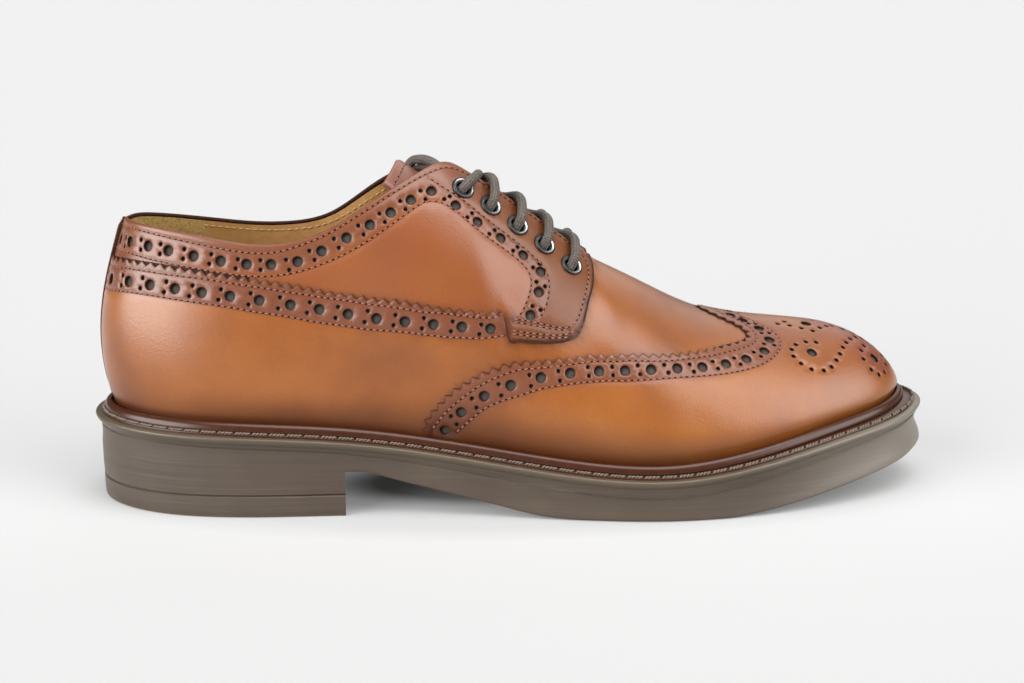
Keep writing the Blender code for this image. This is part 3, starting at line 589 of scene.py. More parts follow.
# raw cut edge, painted dark: dull, slightly fibrous
cutEdge = makeGrained("paintedCutEdge", ["#26130A", "#391F14"], 0.7, 1.2, 0.1, **{"Specular IOR Level": 0.15})
# grey felt backing seen at the bottom of each punched hole, darkened by a painted shadow where the shade attribute
# is set
holeFloor = makeGrained(
    "feltBacking", ["#3E3833", "#504A44"], 0.9, 0.8, 0.05, "#160C08", **{"Specular IOR Level": 0.1}
)
# polyester sewing thread, dyed to the leather: a soft shine on each stitch
sewingThread = makeGrained("sewingThread", ["#6B3E29", "#81513C"], 0.5, 0.4, 0.05)
# leather pierced by the needle: small dull dark discs, painted shade standing in for the needle holes
needleHoleShade = makeGrained("needleHoleShade", ["#251008", "#371A0D"], 0.9, 0.5, 0.05, **{"Specular IOR Level": 0.05})
# pig leather lining at the heel, napped side out: dull and mottled; smooth sheep lining further forward
nappedLining = makeGrained("nappedLining", ["#816533", "#9D7D45", "#A98E55"], 0.9, 0.9, 0.25)
smoothLining = makeGrained("smoothLining", ["#9C713D", "#A77D4C"], 0.5, 2.5, 0.08)
# spun thread in the lining: pale and matt
liningThread = makeGrained("liningThread", ["#9B7945", "#AB8955"], 0.6, 0.5, 0.05)
# tongue: the same calf, flesh pink where it is unpolished
tongueCalf = makeGrained(
    "tongueCalf", ["#704030", "#7C4C3B"], 0.42, 3.0, 0.08, **{"Coat Weight": 0.5, "Coat Roughness": 0.3}
)
# welt: dark dyed leather, edge-waxed to a shine
waxShine = {"Coat Weight": 0.45, "Coat Roughness": 0.12, "Specular IOR Level": 0.15}
waxedWelt = makeGrained("waxedWelt", ["#341608", "#3D1C0B"], 0.4, 3.0, 0.03, **waxShine)
# the stitch groove in the welt, black with old wax, and its flax thread; the same black is painted shade on the
# bead's lower flank and in its crease against the upper
weltGrooveAndShade = makeGrained("weltGrooveAndShade", ["#1A0D07", "#28140B"], 0.6, 1.0, 0.1, **{"Specular IOR Level": 0.1})
weltThread = makeGrained("weltThread", ["#4B4035", "#706456"], 0.6, 0.5, 0.15)
# eyelets: pressed brass rolled in black nickel, with the bright rolled lip worn back to nickel
gunmetal, _, _ = newMaterial("blackNickel", "#3A3B3D", 0.35, Metallic=1.0)
brightLip, _, _ = newMaterial("brightNickel", "#BEC0C0", 0.34, Metallic=1.0)
print("materials made")

# leather panels: edges, seams and punching as (station, share up the rib), the same on both sides
foxing = {
    "edge": [
        (0.0, 0.738), (0.5, 0.745), (1, 0.755), (2, 0.777), (3, 0.787), (4, 0.792), (5, 0.797),
        (5.5, 0.79), (6, 0.772),
        (6.5, 0.735), (7, 0.687), (7.5, 0.645), (8, 0.602), (8.5, 0.562), (9, 0.531), (9.5, 0.503),
        (10, 0.479),
        (10.5, 0.459), (11, 0.445), (11.5, 0.437), (12, 0.434), (12.5, 0.436), (13, 0.447),
        (13.5, 0.462), (14.05, 0.468),
    ],
    "rows": [
        [
            (0.0, 0.705), (1, 0.722), (2, 0.748), (3, 0.757), (4, 0.770), (5, 0.772), (5.5, 0.765),
            (6, 0.745),
            (6.5, 0.712), (7, 0.672), (7.5, 0.63), (8, 0.585), (8.5, 0.547), (9, 0.513), (9.5, 0.485),
            (10, 0.463),
            (10.5, 0.450), (11, 0.438), (11.5, 0.429), (12, 0.424), (12.5, 0.428), (13, 0.438), (13.4, 0.452),
        ],
        [
            (0.0, 0.565), (1, 0.59), (1.5, 0.608), (2, 0.622), (3, 0.63), (4, 0.636), (4.5, 0.638),
            (5, 0.632),
            (5.5, 0.622), (6, 0.604), (6.5, 0.568), (7, 0.535), (7.5, 0.498), (8, 0.463), (8.5, 0.436),
            (9, 0.412),
            (9.5, 0.392), (10, 0.376), (10.5, 0.364), (11, 0.354), (11.5, 0.35), (12, 0.35), (12.5, 0.355),
            (13, 0.37), (13.6, 0.392),
        ],
    ],
    "big": [
        (0.62, 0.64), (1.55, 0.668), (2.45, 0.684), (3.25, 0.69), (3.98, 0.695), (4.68, 0.70), (5.35, 0.695),
        (6.03, 0.672), (6.67, 0.63), (7.4, 0.57), (8.25, 0.503), (9.2, 0.448), (10.4, 0.408),
        (11.7, 0.387), (13.0, 0.40),
    ],
    "small": [
        (0.32, 0.67), (0.3, 0.612), (1.25, 0.688), (1.22, 0.63), (2.18, 0.712), (2.1, 0.653),
        (3.0, 0.718), (2.92, 0.66),
        (3.75, 0.723), (3.65, 0.663), (4.48, 0.73), (4.4, 0.67), (5.18, 0.73), (5.1, 0.665),
        (5.83, 0.715), (5.75, 0.653),
        (6.48, 0.675), (6.38, 0.62), (7.15, 0.62), (7.05, 0.567), (8.0, 0.552), (7.88, 0.505),
        (8.88, 0.488), (8.8, 0.447),
        (10, 0.44), (9.9, 0.402), (11.3, 0.407), (11.2, 0.373), (12.6, 0.405), (12.5, 0.37),
    ],
    "lift": 0.5,
}
quarter = {
    "tab": [
        (13.42, 0.466), (13.52, 0.455), (13.62, 0.42), (13.7, 0.388), (13.78, 0.374), (14.0, 0.379),
        (14.5, 0.397),
        (15.0, 0.417), (15.5, 0.44), (15.9, 0.464), (16.2, 0.486), (16.45, 0.51), (16.7, 0.548),
        (16.95, 0.60),
        (17.2, 0.66), (17.5, 0.715), (17.8, 0.765), (18.05, 0.825), (18.25, 0.89), (18.36, 0.95), (18.4, 1.0),
    ],
    "rows": [
        [  # under the collar and on along the lace gap, then down the front
            (0.0, 0.962), (1, 0.965), (2, 0.966), (3, 0.962), (4, 0.956), (5, 0.957), (5.5, 0.958),
            (6, 0.966),
            (6.5, 0.979), (7, 0.984), (8, 0.984), (9, 0.983), (10, 0.981), (11, 0.976), (12, 0.976),
            (13, 0.981),
            (14, 0.981), (15, 0.98), (16, 0.978), (16.8, 0.972), (17.3, 0.955), (17.6, 0.92), (17.68, 0.87),
            (17.5, 0.80), (17.25, 0.745), (17.0, 0.69), (16.75, 0.635), (16.5, 0.58), (16.25, 0.545),
        ],
        [  # below the collar holes, then down behind the eyelets
            (0.0, 0.815), (1, 0.82), (2, 0.822), (3, 0.82), (4, 0.82), (5, 0.825), (5.5, 0.83),
            (6, 0.84), (6.5, 0.85),
            (7, 0.858), (8, 0.86), (9, 0.87), (9.5, 0.875), (10, 0.88), (10.4, 0.879), (10.8, 0.865),
            (11.2, 0.846),
            (11.6, 0.822), (12, 0.797), (12.5, 0.771), (13, 0.752), (13.5, 0.738), (14, 0.724), (14.4, 0.708),
            (14.65, 0.688), (14.74, 0.66), (14.72, 0.63), (14.62, 0.585), (14.5, 0.55), (14.35, 0.51),
            (14.1, 0.472),
        ],
        [  # in front of the facing holes
            (10.65, 0.965), (11, 0.935), (11.5, 0.893), (12, 0.868), (12.5, 0.849), (13, 0.832),
            (13.5, 0.816),
            (14, 0.80), (14.5, 0.783), (15, 0.761), (15.25, 0.74), (15.38, 0.71), (15.4, 0.68),
            (15.36, 0.645),
            (15.28, 0.60), (15.15, 0.56), (15.0, 0.525), (14.9, 0.50),
        ],
        [(13.95, 0.462), (14.5, 0.478), (15, 0.49), (15.5, 0.502), (16, 0.522), (16.3, 0.548)],
        [(13.93, 0.45), (14.5, 0.466), (15, 0.478), (15.5, 0.491), (16, 0.512)],
        [(13.86, 0.418), (14.5, 0.433), (15, 0.449), (15.5, 0.468), (16, 0.495), (16.3, 0.522)],
        [(13.84, 0.405), (14.5, 0.421), (15, 0.438), (15.5, 0.457), (16, 0.484)],
    ],
    "big": [
        (0.45, 0.875), (1.3, 0.885), (2.28, 0.893), (3.03, 0.89), (3.78, 0.887), (4.5, 0.888), (5.15, 0.892),
        (5.73, 0.898), (6.35, 0.90), (6.95, 0.92), (7.65, 0.925), (8.35, 0.92), (9.02, 0.918), (9.8, 0.918),
        (10.75, 0.907), (11.9, 0.828), (12.9, 0.79), (13.8, 0.77), (14.55, 0.745), (15.12, 0.713),
        (14.97, 0.617),
        (14.6, 0.505),
    ],
    "small": [
        (0.97, 0.90), (0.97, 0.848), (1.95, 0.917), (1.95, 0.86), (2.78, 0.917), (2.75, 0.862), (3.53, 0.915),
        (3.48, 0.86), (4.27, 0.915), (4.2, 0.86), (4.95, 0.913), (4.87, 0.86), (5.5, 0.92),
        (5.47, 0.867), (6.1, 0.918),
        (6.13, 0.863), (6.67, 0.94), (6.75, 0.888), (7.32, 0.95), (7.4, 0.90), (8.03, 0.945), (8.13, 0.897),
        (8.68, 0.94), (8.8, 0.895), (9.4, 0.938), (9.55, 0.895), (10.25, 0.93), (10.43, 0.888),
        (11.67, 0.863),
        (11.35, 0.857), (12.7, 0.815), (12.42, 0.79), (13.6, 0.79), (13.35, 0.762), (14.38, 0.768),
        (14.2, 0.74),
        (15.1, 0.745), (14.85, 0.712), (15.22, 0.655), (14.92, 0.655), (14.98, 0.545), (14.7, 0.545),
    ],
    "lift": -0.35,
    "front": 1.4,
    "ramp": 9.0,
}
wing = {
    "edge": [
        (9.85, -0.05), (9.95, 0.0), (10.12, 0.048), (10.4, 0.08), (10.7, 0.108), (11, 0.135),
        (11.5, 0.168), (12, 0.195),
        (12.5, 0.224), (13, 0.25), (13.5, 0.275), (14, 0.298), (14.5, 0.318), (15, 0.34), (15.5, 0.363),
        (16, 0.386),
        (16.5, 0.408), (17, 0.428), (17.5, 0.437), (18, 0.44), (19, 0.44), (19.5, 0.437), (20, 0.44),
        (20.5, 0.457),
        (21, 0.49), (21.5, 0.537), (22, 0.585), (22.4, 0.627), (22.7, 0.66), (22.92, 0.70),
        (22.98, 0.75), (22.9, 0.81),
        (22.72, 0.86), (22.5, 0.91), (22.3, 0.96), (22.18, 1.0),
    ],
    "rows": [
        [
            (10.28, 0.02), (10.5, 0.046), (11, 0.095), (11.5, 0.133), (12, 0.166), (12.5, 0.197),
            (13, 0.226), (13.5, 0.253),
            (14, 0.281), (14.5, 0.303), (15, 0.325), (15.5, 0.349), (16, 0.373), (16.5, 0.395),
            (17, 0.414), (17.5, 0.423),
            (18, 0.427), (19, 0.426), (19.5, 0.423), (20, 0.424), (20.5, 0.44), (21, 0.472),
            (21.5, 0.514), (22, 0.556),
            (22.3, 0.585), (22.6, 0.613), (22.9, 0.65), (23.07, 0.69), (23.12, 0.74), (23.08, 0.80),
            (22.95, 0.86),
            (22.78, 0.91), (22.62, 0.96), (22.55, 1.0),
        ],
        [
            (11.35, 0.02), (12, 0.072), (12.5, 0.11), (13, 0.14), (13.5, 0.165), (14, 0.19),
            (14.5, 0.22), (15, 0.25),
            (15.5, 0.275), (16, 0.297), (16.5, 0.316), (17, 0.331), (17.5, 0.341), (18, 0.347),
            (18.5, 0.349), (19, 0.347),
            (19.5, 0.344), (20, 0.348), (20.5, 0.366), (21, 0.393), (21.5, 0.42), (22, 0.445),
            (22.5, 0.471), (23, 0.512),
            (23.3, 0.555), (23.52, 0.605), (23.66, 0.66), (23.7, 0.72), (23.62, 0.79), (23.45, 0.85),
            (23.3, 0.90),
            (23.15, 0.96), (23.1, 1.0),
        ],
    ],
    "big": [
        (10.85, 0.022), (11.6, 0.095), (12.65, 0.163), (13.75, 0.222), (14.85, 0.283), (15.97, 0.338),
        (17.5, 0.382),
        (19.2, 0.386), (20.33, 0.398), (20.97, 0.433), (21.57, 0.47), (22.13, 0.507), (22.62, 0.543),
        (23.12, 0.60),
        (23.4, 0.69), (23.33, 0.80), (23.05, 0.885), (22.86, 0.955),
    ],
    "small": [
        (11.15, 0.077), (11.4, 0.05), (12.1, 0.147), (12.3, 0.118), (13.27, 0.215), (13.38, 0.178),
        (14.45, 0.278),
        (14.5, 0.24), (15.5, 0.33), (15.55, 0.295), (16.85, 0.388), (16.88, 0.352), (18.35, 0.405),
        (18.35, 0.37),
        (19.95, 0.405), (19.98, 0.37), (20.68, 0.433), (20.74, 0.402), (21.28, 0.468), (21.34, 0.435),
        (21.84, 0.51),
        (21.92, 0.473), (22.35, 0.545), (22.45, 0.507), (22.85, 0.59), (22.98, 0.56), (23.2, 0.655),
        (23.45, 0.643),
        (23.3, 0.75), (23.52, 0.752), (23.13, 0.845), (23.33, 0.85), (22.9, 0.92), (23.08, 0.925),
    ],
    "lift": 1.3,
    "medallionBig": [(24.35, 0.565), (26.4, 0.413), (25.25, 0.882)],
    "medallion": [
        (23.85, 0.602), (24.05, 0.641), (24.4, 0.661), (24.7, 0.651), (23.8, 0.548), (23.9, 0.489),
        (24.1, 0.438),
        (24.4, 0.415), (24.65, 0.433), (24.9, 0.479), (25.15, 0.526), (25.45, 0.578), (25.8, 0.617),
        (26.25, 0.641),
        (26.9, 0.639), (27.4, 0.597), (26.1, 0.516), (26.55, 0.543), (25.85, 0.442), (25.85, 0.337),
        (26.05, 0.271),
        (26.4, 0.266), (26.8, 0.312), (27.2, 0.393), (27.45, 0.487), (24.05, 0.862), (24.4, 0.843),
        (24.7, 0.808),
        (25.0, 0.772), (25.55, 0.811), (26.25, 0.835), (24.4, 0.899), (26.95, 0.833), (27.3, 0.757),
        (27.55, 0.676),
    ],
    "mirrored": (1, 14),  # the inner side has only the near lobe: this many big and small holes of it
}
punch = {  # radii, then the felt below each hole: its depth, and rings out from the middle
    "big": 1.82,
    "small": 0.7,
    "medallion": 0.8,
    "floor": 1.15,
    "rings": (1.15, 0.7, 0.3),
    "sides": 14,
}
seam = {"pitch": 2.2, "length": 1.5, "thick": 0.34, "groove": 0.3, "reach": 0.45}
panelCut = {
    "grid": 2.3,
    "outlineStep": 1.6,
    "holeRing": 0.38,  # a ring of points this far round each hole
    "seamStep": 1.3,
    "seamSide": 0.85,  # and lines this far beside each seam
    "edgeRound": 0.24,
    "edgeRing": 0.65,
    "thick": 1.15,
    "pinkPitch": 3.75,
    "pinkDepth": 1.65,
}


def footTuck(t):  # leather pulled tight to the last just above the welt
    return smoothStep((t + 0.02) / 0.1)


def cutPanel(side, outline, holes, grooves, liftAt, seamEnds):
    outline = denser(outline, panelCut["outlineStep"])
    rings = [circleOn(side, spot, r + panelCut["holeRing"], max(10, n)) for spot, r, n in holes]
    loops = [circleOn(side, spot, r, n) for spot, r, n in holes]
    lines = [traceRow(side, stops, panelCut["seamStep"]) for stops in grooves]
    beside = [shifted(side, line, way * panelCut["seamSide"]) for line in lines for way in (-1, 1)]
    low, high = outline.min(axis=0), outline.max(axis=0)
    across, up = (np.arange(low[k], high[k], panelCut["grid"]) for k in (0, 1))
    grid = np.stack(np.meshgrid(across, up), axis=-1).reshape(-1, 2)
    inward = unit(np.column_stack([-np.gradient(outline[:, 1]), np.gradient(outline[:, 0])]))
    ringIn = outline + inward * panelCut["edgeRing"]
    third = len(ringIn) // 3
    if not insideLoop(ringIn[third : third + 40], outline).mean() > 0.5:
        ringIn = 2 * outline - ringIn
    near = np.vstack([outline] + loops)
    ringIn = ringIn[insideLoop(ringIn, outline) & (distanceTo(ringIn, outline) > 0.5 * panelCut["edgeRing"])]
    loose = [ringIn] + rings + lines + beside
    extra = np.vstack([c[insideLoop(c, outline) & (distanceTo(c, near) > 0.2)] for c in loose])
    grid = grid[insideLoop(grid, outline)]
    grid = grid[(distanceTo(grid, np.vstack([near, extra])) > 0.55 * panelCut["grid"])]
    coords, edges = [outline], [(i, (i + 1) % len(outline)) for i in range(len(outline))]
    count = len(outline)
    for loop in loops:
        edges += [(count + i, count + (i + 1) % len(loop)) for i in range(len(loop))]
        coords.append(loop)
        count += len(loop)
    coords = np.vstack(coords + [extra, grid])
    flat, _, faces, *_ = delaunay_2d_cdt([Vector(c) for c in coords], edges, [], 0, 1e-5)
    flat, faces = np.array([tuple(v) for v in flat]), np.array(faces)
    centres = flat[faces].mean(axis=1)
    keep = insideLoop(centres, outline)
    for loop in loops:
        keep &= ~insideLoop(centres, loop)
    faces = faces[keep]
    used, faces = np.unique(faces, return_inverse=True)
    flat, faces = flat[used], faces.reshape(-1, 3)
    area = np.cross(flat[faces[:, 1]] - flat[faces[:, 0]], flat[faces[:, 2]] - flat[faces[:, 0]])
    faces[area < 0] = faces[area < 0][:, ::-1]
    u, t = fromFlat(flat)
    directed = np.vstack([faces[:, [0, 1]], faces[:, [1, 2]], faces[:, [2, 0]]])
    key = np.sort(directed, axis=1)
    _, inverse, times = np.unique(key, axis=0, return_inverse=True, return_counts=True)
    border = directed[times[inverse.reshape(-1)] == 1]
    onSeam = np.zeros(len(flat), bool)
    for test in seamEnds:
        onSeam |= test(u, t)
    border = border[~(onSeam[border[:, 0]] & onSeam[border[:, 1]])]
    lift = liftAt(u, t, flat) * footTuck(t)
    if lines:
        away = distanceTo(flat, np.vstack([traceRow(side, stops, 0.4) for stops in grooves]))
        lift = lift - seam["groove"] * np.exp(-((away / seam["reach"]) ** 2))
    lift[np.unique(border)] -= panelCut["edgeRound"]
    solid = lifted(side, u, t, lift)
    rim = np.unique(border)
    place = np.full(len(flat), -1)
    place[rim] = np.arange(len(rim)) + len(flat)
    wall = lifted(side, u[rim], t[rim], lift[rim] - panelCut["thick"])
    skirt = np.column_stack([border[:, 1], border[:, 0], place[border[:, 0]], place[border[:, 1]]])
    if side == "inner":
        faces, skirt = faces[:, ::-1], skirt[:, ::-1]
    return {
        "points": np.vstack([solid, wall]),
        "faces": [tuple(f) for f in faces.tolist()] + [tuple(f) for f in skirt.tolist()],
        "indices": [0] * len(faces) + [1] * len(skirt),
        "cut": np.concatenate([np.isin(np.arange(len(flat)), rim), np.ones(len(rim), bool)]),
        "u": np.concatenate([u, u[rim]]),
        "t": np.concatenate([t, t[rim]]),
        "flat": np.vstack([flat, flat[rim]]),
    }


def backSeam(u, t):
    return u < 1e-4


def toeSeam(u, t):
    return u > lastRow - 1e-4


def ridgeSeam(u, t):
    return (t > 1 - 1e-5) & (u >= ridgeRow - 1e-4)


def straight(a, b, steps):
    return toFlat(*(np.array(a) + (np.array(b) - np.array(a)) * np.linspace(0, 1, steps)[:, None]).T)


def bandBetween(side, upper, lower, flat, soften=0.8):  # 1 between two stitch rows, softly falling outside
    loop = np.vstack([traceRow(side, upper, 1.5), traceRow(side, lower, 1.5)[::-1]])
    inside = insideLoop(flat, loop)
    return np.where(inside, 1.0, np.exp(-((distanceTo(flat, loop) / soften) ** 2)))


def buildPanels(name, halves, tones):
    heap, tone = Heap(), {"band": [], "burnish": [], "toe": []}
    for side, half in halves:
        found = tones(side, half)
        found["burnish"] = np.where(half["cut"] & (half["t"] < 0.995), 0.9, found["burnish"])
        indices = half["indices"]
        if "raw" in found:  # the painted edge of the tab and facing
            raw = found["raw"] > 0.5
            indices = [int(k or raw[list(f)].all()) for k, f in zip(indices, half["faces"])]
        heap.add(half["points"], half["faces"], indices)
        for key in tone:
            tone[key].append(found.get(key, np.zeros(len(half["u"]))))
    tone = {key: np.concatenate(values) for key, values in tone.items()}
    cleanPiece(heap.piece(name, [tanCalf, cutEdge], "upper_leather", attributes=tone), 0.01)


def weltBurnishAndShade(half):  # burnish and painted shade darken the lowest 15 mm
    atToe = smoothStep((half["u"] - 20.0) / 4.0)
    fromHeel = 0.33 + 0.3 * smoothStep((half["u"] - 2.0) / 4.0)
    wide = (1 - smoothStep(half["t"] / 0.19)) * fromHeel * (1 - 0.65 * atToe)
    narrow = 0.85 - 0.5 * atToe
    return np.maximum(wide, narrow * (1 - smoothStep((half["t"] + 0.005) / 0.07)))


def nearRows(side, half, stopsList, reach, strength):
    cloud = np.vstack([traceRow(side, stops, 0.8) for stops in stopsList])
    return strength * np.exp(-((distanceTo(half["flat"], cloud) / reach) ** 2))


# x on the edge of the facing, distance below it
eyelets = [(132.0, 10.2), (141.7, 10.3), (151.4, 10.8), (160.9, 11.2), (170.4, 12.2)]


def stationAt(side, x):  # the station whose top edge is at x, along the lace gap
    rows = np.linspace(11.5, ridgeRow, 900)
    return float(np.interp(x, ribCurve[side]["xe"](rows), rows))


def eyeletSpot(side, x, fromEdge):
    u, shares = stationAt(side, x), np.linspace(1.0, 0.0, 401)
    run = lengthTo(skin(side, np.full(len(shares), u), shares))
    return u, float(np.interp(fromEdge, run, shares))


creases = {  # soft ridges and troughs: line, height, half width
    "quarter": [([(10.5, 0.69), (11.4, 0.66), (12.6, 0.63), (13.6, 0.6)], 0.15, 8.0)],
    "foxing": [
        ([(13.6, 0.34), (14.4, 0.345), (15.2, 0.37)], -0.4, 3.0),
        ([(18.3, 0.52), (19.0, 0.62), (19.4, 0.74)], 0.35, 5.0),
        ([(11.0, 0.26), (12.2, 0.29), (13.4, 0.33)], 0.3, 4.0),
    ],
    "wing": [
        ([(14.6, 0.13), (16.5, 0.2), (18.6, 0.23)], 0.35, 6.0),
        ([(19.4, 0.26), (20.4, 0.22), (21.2, 0.2)], -0.3, 6.0),
    ],
}


def creased(side, key, flat):
    total = np.zeros(len(flat))
    for stops, height, reach in creases[key]:
        total += height * np.exp(-((distanceTo(flat, traceRow(side, stops, 1.0)) / reach) ** 2))
    return total


def quarterLift(side):  # lies under the foxing at the back, over the vamp at the facing and tab
    front = traceRow(side, quarter["tab"], 0.8)
    front = front[fromFlat(front)[0] < 16.6]

    def lift(u, t, flat):
        rise = smoothStep((u - 10.6) / 7.4)
        tab = smoothStep(1 - distanceTo(flat, front) / quarter["ramp"]) * smoothStep((u - 13.35) / 0.7)
        base = quarter["lift"] + (quarter["front"] - quarter["lift"]) * (1 - (1 - rise) * (1 - tab))
        return base + creased(side, "quarter", flat)

    return lift


def toeRound(side, u, t):  # takes the ridge off the middle of the toe
    x, y, _ = np.moveaxis(skin(side, u, t), -1, 0)
    off = np.abs(y - toeMiddle)
    crown = 1.1 * off / 6.5 * np.exp(-off / 6.5) - 0.45 * np.clip(1 - off / 12.0, 0, 1) ** 2
    return crown * smoothStep((x - 250.0) / 28.0) * smoothStep(np.asarray(t) / 0.2)


def vampLift(side):
    return lambda u, t, flat: foxing["lift"] + creased(side, "foxing", flat)


def wingLift(side):
    return lambda u, t, flat: wing["lift"] + creased(side, "wing", flat) + toeRound(side, u, t)


holeSides = {"big": 16, "small": 10, "medallion": 10, "eyelet": 20}


def holesOf(part):
    return [(spot, punch[size], holeSides[size]) for size in ("big", "small") for spot in part[size]]


quarterHalves, vampHalves, wingHalves = [], [], []
medallionOf, liftOf = {}, {}
tabEnd = quarter["tab"][-1][0]  # stations where panels meet the top edge or the welt
wingTop, wingFoot = wing["edge"][-1][0], wing["edge"][0][0]
vampTop, vampFoot = wing["rows"][0][-1][0], wing["rows"][0][0][0]
for sideName in sides:
    under = shifted(sideName, traceRow(sideName, foxing["edge"], 1.6), -2.2)
    under[0, 0] = 0.0
    outline = np.vstack(
        [
            under[fromFlat(under)[0] < 13.2],
            traceRow(sideName, quarter["tab"], 1.2),
            straight((tabEnd, 1.0), (0.0, 1.0), 180)[1:],
            straight((0.0, 1.0), (0.0, under[0, 1] / upScale), 30)[1:-1],
        ]
    )
    holes = holesOf(quarter) + [(eyeletSpot(sideName, *e), 2.8, holeSides["eyelet"]) for e in eyelets]
    liftOf[sideName, "quarter"] = quarterLift(sideName)
    half = cutPanel(sideName, outline, holes, quarter["rows"], liftOf[sideName, "quarter"], [backSeam])
    quarterHalves.append((sideName, half))

    liftOf[sideName, "foxing"] = vampLift(sideName)
    hidden = shifted(sideName, traceRow(sideName, quarter["tab"], 1.5), 3.0)
    hidden = hidden[fromFlat(hidden)[0] > 14.4]
    edge = pinked(sideName, foxing["edge"], panelCut["pinkPitch"], panelCut["pinkDepth"])
    lastStop = fromFlat(hidden[-1:])
    underWing = traceRow(sideName, [(vampFoot, -wallShare)] + wing["rows"][0], 1.6)
    outline = np.vstack(
        [
            straight((0.0, -wallShare), (0.0, foxing["edge"][0][1]), 40)[:-1],
            edge,
            hidden[hidden[:, 1] < upScale - 0.5],
            straight((float(lastStop[0][0]), 1.0), (ridgeRow, 1.0), 20),
            straight((ridgeRow, 1.0), (vampTop, 1.0), 30)[1:-1],
            underWing[::-1],
            straight((vampFoot, -wallShare), (0.0, -wallShare), 120)[1:-1],
        ]
    )
    holes, seamEnds = holesOf(foxing), [backSeam, ridgeSeam]
    half = cutPanel(sideName, outline, holes, foxing["rows"], liftOf[sideName, "foxing"], seamEnds)
    vampHalves.append((sideName, half))

    liftOf[sideName, "wing"] = wingLift(sideName)
    edge = pinked(sideName, wing["edge"], panelCut["pinkPitch"], panelCut["pinkDepth"])
    outline = np.vstack(
        [
            edge,
            straight((wingTop, 1.0), (lastRow, 1.0), 70)[1:],
            straight((lastRow, 1.0), (lastRow, -wallShare), 40)[1:],
            straight((lastRow, -wallShare), (wingFoot, -wallShare), 160)[1:-1],
        ]
    )
    lobes, dots = (None, None) if sideName == "outer" else wing["mirrored"]
    medallion = [(spot, punch["medallion"], holeSides["medallion"]) for spot in wing["medallion"][:dots]]
    medallion += [(spot, punch["big"], holeSides["big"]) for spot in wing["medallionBig"][:lobes]]
    medallionOf[sideName] = medallion
    holes = holesOf(wing) + medallion
    half = cutPanel(sideName, outline, holes, wing["rows"], liftOf[sideName, "wing"], [ridgeSeam, toeSeam])
    wingHalves.append((sideName, half))
    print("panels cut on the", sideName, "side")


def gridFaces(rows, columns, flip):
    faces = []
    for i in range(rows - 1):
        for j in range(columns - 1):
            a = i * columns + j
            face = (a, a + columns, a + columns + 1, a + 1)
            faces.append(face[::-1] if flip else face)
    return faces


def loftFaces(count, loops, closed=False):
    faces = []
    for level in range(loops if closed else loops - 1):
        low, high = level * count, ((level + 1) % loops) * count
        faces += [(low + i, low + (i + 1) % count, high + (i + 1) % count, high + i) for i in range(count)]
    return faces


def quarterTones(side, half):
    centre = bandBetween(side, quarter["rows"][1], foxing["edge"][:-1], half["flat"], 1.6)  # the tan middle
    facing = bandBetween(side, quarter["rows"][2], quarter["rows"][1][19:], half["flat"])
    centre = centre * smoothStep((half["u"] - 2.8) / 2.0)
    ahead = smoothStep((half["u"] - 13.0) / 1.5)
    stay = (1 - centre) * ahead * (1 - facing)  # the plain leather round the eyelets
    raw = nearRows(side, half, [quarter["tab"]], 0.95, 1.0)
    # darker along the foxing's edge: edge dye, and a painted shadow cast by the foxing
    under = nearRows(side, half, [foxing["edge"]], 1.5, 0.45)
    sewn = nearRows(side, half, quarter["rows"], 0.5, 0.3)
    return {
        "band": np.clip((1 - centre) * (0.85 - 0.12 * ahead) + 0.2 * facing * ahead - 0.4 * stay, 0, 1),
        "toe": centre * 0.5,
        "raw": raw,
        "burnish": np.clip(np.maximum(under, raw) + 0.4 * stay + 0.1 * facing * ahead + sewn, 0, 0.95),
    }


def vampTones(side, half):
    band = bandBetween(side, [(u, t + 0.03) for u, t in foxing["edge"]], foxing["rows"][1], half["flat"])
    # darker round the wing's and tab's edges: edge dye, and a painted shadow cast by those edges
    cut = nearRows(side, half, [wing["edge"], quarter["tab"]], 1.1, 0.45)
    sewn = nearRows(side, half, foxing["rows"], 0.5, 0.35)
    return {"band": band * 0.95, "burnish": np.clip(np.maximum(weltBurnishAndShade(half), cut) + sewn, 0, 0.92)}


def wingTones(side, half):
    band = bandBetween(side, wing["edge"], wing["rows"][1], half["flat"])
    band = np.maximum(band, nearRows(side, half, [wing["edge"]], 2.5, 1.0))
    toe = smoothStep((half["u"] - 24.8) / 1.6) * smoothStep((half["t"] - 0.14) / 0.2)
    sewn = nearRows(side, half, wing["rows"], 0.5, 0.35)
    return {"band": band * 0.85, "toe": toe, "burnish": np.clip(weltBurnishAndShade(half) + sewn, 0, 0.92)}


teeth = Heap()  # the dark underlay between the teeth at the heel and at the peak of the wing: dyed edge and painted shadow under the teeth
for sideName in sides:
    for part, below in ((foxing, "quarter"), (wing, "foxing")):
        line = traceRow(sideName, part["edge"], 1.2)
        u, t = fromFlat(line)
        line = line[u < 5.2] if part is foxing else line[(u > 22.0) & (t > 0.58)]
        grid = []
        for way in (-0.9, 0.6, panelCut["pinkDepth"] - 0.1):
            row = shifted(sideName, line, way)
            u, t = fromFlat(row)
            grid.append(lifted(sideName, u, t, liftOf[sideName, below](u, t, row) * footTuck(t) + 0.1))
        teeth.add(np.stack(grid, axis=1).reshape(-1, 3), gridFaces(len(line), 3, sideName == "inner"))
teeth.piece("toothUnderlayAndShadow", [cutEdge], "upper_leather")
buildPanels("quarters", quarterHalves, quarterTones)
buildPanels("vampAndFoxing", vampHalves, vampTones)
buildPanels("wingCap", wingHalves, wingTones)
print("panels built")

# stitches: a thread bead between two needle holes, again and again along each row
beadRings = [(-0.5, 0.3, -0.5), (-0.3, 0.85, 0.2), (0.0, 1.0, 0.4), (0.3, 0.85, 0.2), (0.5, 0.3, -0.5)]
beadSides = 6


